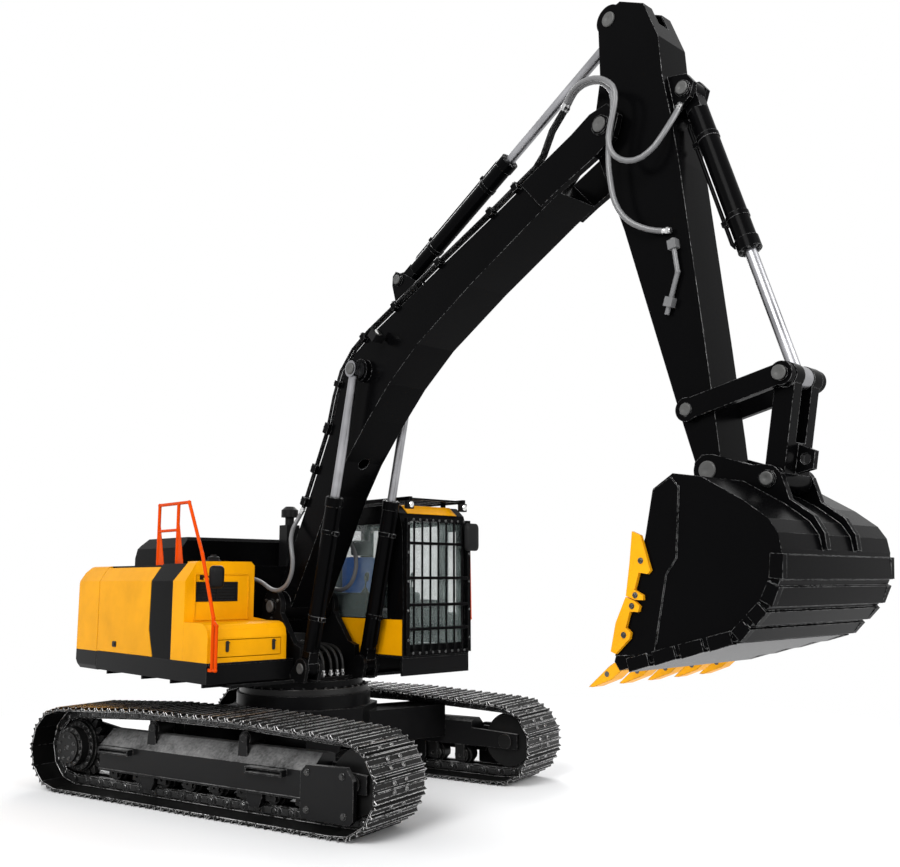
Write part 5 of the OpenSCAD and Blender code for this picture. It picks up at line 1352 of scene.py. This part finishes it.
@dataclass
class Cab:
    """Seat, controls, guard bolts, lamp lenses and door handle of the cab."""

    front: float = 1.03
    inner: float = 0.455
    outer: float = 1.367
    floor: float = 1.35

    def seat(self) -> None:
        """Replaces the plain seat by a base, pads and consoles with levers."""
        base = Sculpt()
        base.block(upper(-0.25, 0.70, self.floor), upper(0.25, 1.15, self.floor + 0.06), 0.008)
        base.loft([[upper(x * s, 0.925 + y * s, z)
                    for x, y in ((-0.22, -0.19), (0.22, -0.19), (0.22, 0.19), (-0.22, 0.19))]
                   for z, s in ((1.40, 1.0), (1.45, 0.90), (1.49, 1.0), (1.53, 0.90), (1.57, 1.0),
                                (1.60, 0.95))])
        base.block(upper(-0.26, 0.69, 1.595), upper(0.28, 1.16, 1.625), 0.010)
        obj = base.piece("seat_base", Finishes.PLASTIC, Body.UPPER, "black_plastic")
        cushion = Cushion("seat_cushion", (-0.27, 0.68, 1.615), (0.30, 1.17, 1.725), 2, 0.22,
                          (-0.45, 0.45)).build(Finishes.SEAT)
        back = Cushion("seat_back", (-0.325, 0.69, 1.735), (-0.205, 1.16, 2.31), 0, 0.22,
                       (-0.35, 0.1, 0.5)).build(Finishes.BLUE)
        Cushion("head_rest", (-0.292, 0.79, 2.315), (-0.218, 1.06, 2.49), 0, 0.15, ()).build(Finishes.SEAT)
        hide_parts("cab_seat")
        LOG.info("seat of %s, %s and %s", obj.name, cushion.name, back.name)
        sides = Sculpt()
        for y in (0.54, 1.19):
            sides.loft([[upper(x, y + dy, z) for x, dy in
                         ((-0.24 + a, b), (0.33 - a, b), (0.33 - a, 0.11 - b), (-0.24 + a, 0.11 - b))]
                        for z, a, b in ((self.floor, 0.03, 0.0), (1.74, 0.02, 0.0), (1.86, 0.0, 0.0),
                                        (1.895, 0.004, 0.004), (1.91, 0.02, 0.018))])
            middle = y + 0.055
            sides.turned(upper(0.24, middle, 1.905), Vector((0.0, 0.0, 1.0)),
                         ((0.045, 0.0), (0.040, 0.02), (0.018, 0.06)), 18)
            sides.tube([upper(0.24, middle, 1.95), upper(0.245, middle, 2.0), upper(0.255, middle, 2.04)],
                       0.009, 8)
            sides.turned(upper(0.254, middle, 2.03), Vector((0.2, 0.0, 1.0)),
                         ((0.014, 0.0), (0.024, 0.02), (0.026, 0.06), (0.021, 0.09), (0.008, 0.10)), 16)
        for y in (0.85, 0.99):
            sides.tube([upper(0.70, y, self.floor), upper(0.70, y, 1.55), upper(0.66, y, 1.72),
                        upper(0.60, y, 1.84)], 0.010, 8)
            sides.block(upper(0.69, y - 0.045, self.floor), upper(0.82, y + 0.045, self.floor + 0.04), 0.008)
        sides.piece("cab_controls", Finishes.PLASTIC, Body.UPPER, "black_plastic")

    def fittings(self) -> None:
        """Bolts the guard and adds lamp lenses and the door handle."""
        out = Vector((1.0, 0.0, 0.0))
        seats = [Seat(upper(self.front + 0.040, self.inner + 0.10 + 0.089 * k, z), out)
                 for k in range(9) for z in (1.32, 2.655)]
        seats += [Seat(upper(self.front + 0.045, y, 1.45 + 0.29 * k), out) for y in (0.485, 1.337)
                  for k in range(5)]
        Screws().set("guard_bolts", seats, 0.009, Body.UPPER, "rod_chrome", Finishes.BOLT)
        lenses = Sculpt()
        for y in (self.inner + 0.08, self.outer - 0.08):
            lenses.turned(upper(self.front + 0.028, y, 2.808), out,
                          ((0.031, 0.0), (0.031, 0.003), (0.024, 0.007), (0.010, 0.009)), 24)
        lenses.piece("cab_lenses", Finishes.LENS, Body.UPPER, "lamp")
        handle = Sculpt()
        plate = [upper(0.55 + a, self.outer, 1.68 + b)
                 for a, b in rounded((-0.05, -0.07), (0.05, 0.07), 0.02, 4)]
        handle.slab(plate, Vector((0.0, 0.010, 0.0)), 0.003)
        grip = ((0.585, 0.006, 1.73), (0.585, 0.032, 1.722), (0.575, 0.038, 1.68), (0.585, 0.032, 1.638),
                (0.585, 0.006, 1.63))
        handle.tube([upper(x, self.outer + y, z) for x, y, z in grip], 0.008, 10)
        handle.piece("door_handle", Finishes.PLASTIC, Body.DOOR, "black_plastic")

    def build(self) -> None:
        """Dresses the cab."""
        self.seat()
        self.fittings()


@dataclass(frozen=True)
class Ram:
    """One hydraulic cylinder: where it starts, where it points and what rides on its barrel."""

    name: str
    base: Vector
    pin: Vector
    barrel: float
    sides: tuple[float, ...]
    body: Body
    flip: float = 1.0
    radius: float = 0.078

    def build(self) -> None:
        """Adds bands, a side pipe and gland bolts to the barrel."""
        along = (self.pin - self.base).normalized()
        off = Vector((-along.z, 0.0, along.x)) * self.flip
        form, screws = Sculpt(), []
        for y in self.sides:
            start = self.base + Vector((0.0, y, 0.0))
            for share in (0.30, 0.80):
                ring = start + along * self.barrel * share
                form.turned(ring, along,
                            ((self.radius - 0.004, -0.022), (self.radius + 0.006, -0.020),
                             (self.radius + 0.006, 0.020), (self.radius - 0.004, 0.022)), 28, True)
                u, v = off, along.cross(off)
                form.slab([ring + off * (self.radius - 0.005) + v * a + along * b for a, b in
                           ((-0.028, -0.020), (0.028, -0.020), (0.028, 0.020), (-0.028, 0.020))],
                          u * 0.052, 0.004)
            sunk, bend, reach = self.radius - 0.01, self.radius + 0.016, self.radius + 0.030
            pipe = ((0.0, sunk), (0.004, bend), (0.03, reach), (0.10, reach), (0.4, reach),
                    (self.barrel - 0.42, reach), (self.barrel - 0.33, reach), (self.barrel - 0.296, bend),
                    (self.barrel - 0.292, sunk))
            form.tube([start + along * (0.215 + a) + off * b for a, b in pipe], 0.015, 12)
            first, second = around(along)
            for k in range(8):
                a = 2.0 * math.pi * (k + 0.5) / 8.0
                around_bore = (first * math.cos(a) + second * math.sin(a)) * 0.067
                screws.append(Seat(start + along * self.barrel + around_bore, along, a))
        form.piece(f"{self.name}_pipe", Finishes.BLACK, self.body, "front_black")
        Screws().set(f"{self.name}_gland_bolts", screws, 0.009, self.body, "ring_steel")


@dataclass
class Front:
    """Pins, clamps, lamps and cylinder fittings of the boom and arm."""

    boom_top: tuple[tuple[float, float], ...] = (
        (5.080, 0.335), (4.591, 0.480), (3.900, 0.700), (3.266, 0.890), (2.780, 1.040), (2.520, 1.090),
        (2.268, 1.070), (2.040, 0.970), (1.810, 0.830), (1.400, 0.670), (0.929, 0.490))
    clamps: tuple[tuple[int, float, float], ...] = (
        (8, 0.16, 0.110), (9, 0.14, 0.090), (9, 0.86, 0.090), (6, 0.5, 0.060), (4, 0.3, 0.060),
        (3, 0.15, 0.060), (2, 0.1, 0.060), (1, 0.1, 0.060), (0, 0.5, 0.060))
    clamp_rise: float = 0.072

    def pins(self) -> None:
        """Sets the pin heads of the boom, arm and links."""
        heads = {body: Sculpt() for body in (Body.BOOM, Body.ARM, Body.IDLER, Body.BOOM_RODS)}
        for side in (-1.0, 1.0):
            out = Vector((0.0, side, 0.0))
            heads[Body.BOOM].disc(BOOM_LINE.at(5.69, 0.0, side * 0.292), out, 0.060, 0.014)
            heads[Body.BOOM].disc(BOOM_LINE.at(3.325, 1.255, side * 0.131), out, 0.046, 0.012)
            heads[Body.ARM].disc(ARM_LINE.at(-0.86, 0.285, side * 0.18), out, 0.060, 0.016)
            heads[Body.ARM].disc(ARM_LINE.at(0.07, 0.65, side * 0.131), out, 0.050, 0.012)
            heads[Body.ARM].disc(ARM_LINE.at(2.40, -0.028, side * 0.238), out, 0.044, 0.010)
            heads[Body.IDLER].disc(ARM_LINE.at(2.458, 0.707, side * 0.259), out, 0.050, 0.012)
            heads[Body.BOOM_RODS].disc(BOOM_LINE.at(2.49, 0.84, side * 0.410), out, 0.056, 0.014)
        for body, form in heads.items():
            form.piece(f"{body.value}_pins", Finishes.PIN, body, "ring_steel")

    def clamp_plates(self) -> None:
        """Lays a plate with two bolts on every pipe clamp."""
        form, screws = Sculpt(), []
        for number, share, width in self.clamps:
            a, b = self.boom_top[number], self.boom_top[number + 1]
            size = math.dist(a, b)
            along = ((b[0] - a[0]) / size, (b[1] - a[1]) / size)
            normal = (along[1], -along[0])
            m = tuple(p + (q - p) * share for p, q in zip(a, b))
            base = (m[0] + normal[0] * self.clamp_rise, m[1] + normal[1] * self.clamp_rise)
            up = BOOM_LINE.at(*normal) - BOOM_LINE.at(0.0, 0.0)
            half = 0.45 * width
            for side in (-1.0, 1.0):
                corners = [BOOM_LINE.at(base[0] + along[0] * s, base[1] + along[1] * s, side * y)
                           for s, y in ((-half, 0.193), (half, 0.193), (half, 0.269), (-half, 0.269))]
                form.slab(corners, up * 0.008, 0.002)
                screws += [Seat(BOOM_LINE.at(base[0] + normal[0] * 0.008, base[1] + normal[1] * 0.008,
                                             side * y), up)
                           for y in (0.205, 0.231, 0.257)]
        form.piece("pipe_clamp_plates", Finishes.SILVER, Body.BOOM, "rod_chrome")
        Screws().set("pipe_clamp_bolts", screws, 0.009, Body.BOOM, "ring_steel")
        lenses = Sculpt()
        ahead = BOOM_LINE.at(1.0, 0.0) - BOOM_LINE.at(0.0, 0.0)
        for side in (-1.0, 1.0):
            lenses.turned(BOOM_LINE.at(2.94, 0.85, side * 0.33), ahead,
                          ((0.044, 0.0), (0.044, 0.005), (0.036, 0.011), (0.014, 0.013)), 24)
        lenses.piece("boom_lamp_lenses", Finishes.LENS, Body.BOOM, "lamp")

    def rams(self) -> None:
        """Dresses the cylinder barrels."""
        Ram("boom_ram", upper(0.57, 0.0, 1.20), BOOM_LINE.at(2.49, 0.84), 1.68, (-0.355, 0.355),
            Body.BOOM_BARRELS, -1.0).build()
        Ram("arm_ram", BOOM_LINE.at(3.325, 1.255), ARM_LINE.at(-0.86, 0.285), 1.60, (0.0,),
            Body.ARM_BARREL).build()
        Ram("bucket_ram", ARM_LINE.at(0.07, 0.65), ARM_LINE.at(2.458, 0.707), 1.39, (0.0,),
            Body.BUCKET_BARREL, -1.0).build()

    def build(self) -> None:
        """Dresses the boom, the arm and the cylinders."""
        self.pins()
        self.clamp_plates()
        self.rams()


@dataclass
class Bucket:
    """Bolts, tooth pins and pin heads of the bucket."""

    width: float = 1.48
    teeth: int = 5

    def edge(self, e: float, n: float) -> tuple[float, float]:
        """Place along the side edge, e down it and n ahead of it."""
        return (-0.160 - 0.329 * e - 0.944 * n, -0.460 - 0.944 * e + 0.329 * n)

    def build(self) -> None:
        """Bolts the cutters and pins the teeth."""
        screws, pins = [], Sculpt()
        for side in (-1.0, 1.0):
            out = Vector((0.0, side, 0.0))
            for e, n in ((0.15, -0.03), (0.375, -0.055), (0.45, -0.05), (0.65, -0.045)):
                screws.append(Seat(BUCKET_LINE.at(*self.edge(e, n), side * (self.width / 2.0 + 0.038)), out))
            pins.disc(BUCKET_LINE.at(0.0, 0.0, side * 0.236), out, 0.066, 0.014)
            pins.disc(BUCKET_LINE.at(0.442, -0.089, side * 0.256), out, 0.046, 0.012)
        Screws().set("cutter_bolts", screws, 0.014, Body.BUCKET, "ring_steel")
        pins.piece("bucket_pins", Finishes.PIN, Body.BUCKET, "ring_steel")
        keys = Sculpt()
        for k in range(self.teeth):
            y = -self.width / 2.0 + 0.075 + k * (self.width - 0.15) / (self.teeth - 1)
            for side in (-1.0, 1.0):
                keys.disc(BUCKET_LINE.at(-0.52, -1.352, y + side * 0.055), Vector((0.0, side, 0.0)),
                          0.018, 0.006, 16)
        keys.piece("tooth_keys", Finishes.PIN, Body.BUCKET, "teeth_yellow")


def main() -> None:
    """Builds the studio and dresses every sub-assembly."""
    logging.basicConfig(level=logging.INFO)
    Studio().build()
    for assembly in (Hoses(), Undercarriage(), House(), Cab(), Front(), Bucket()):
        assembly.build()
    paint_nodes()


if __name__ == "__main__":
    main()
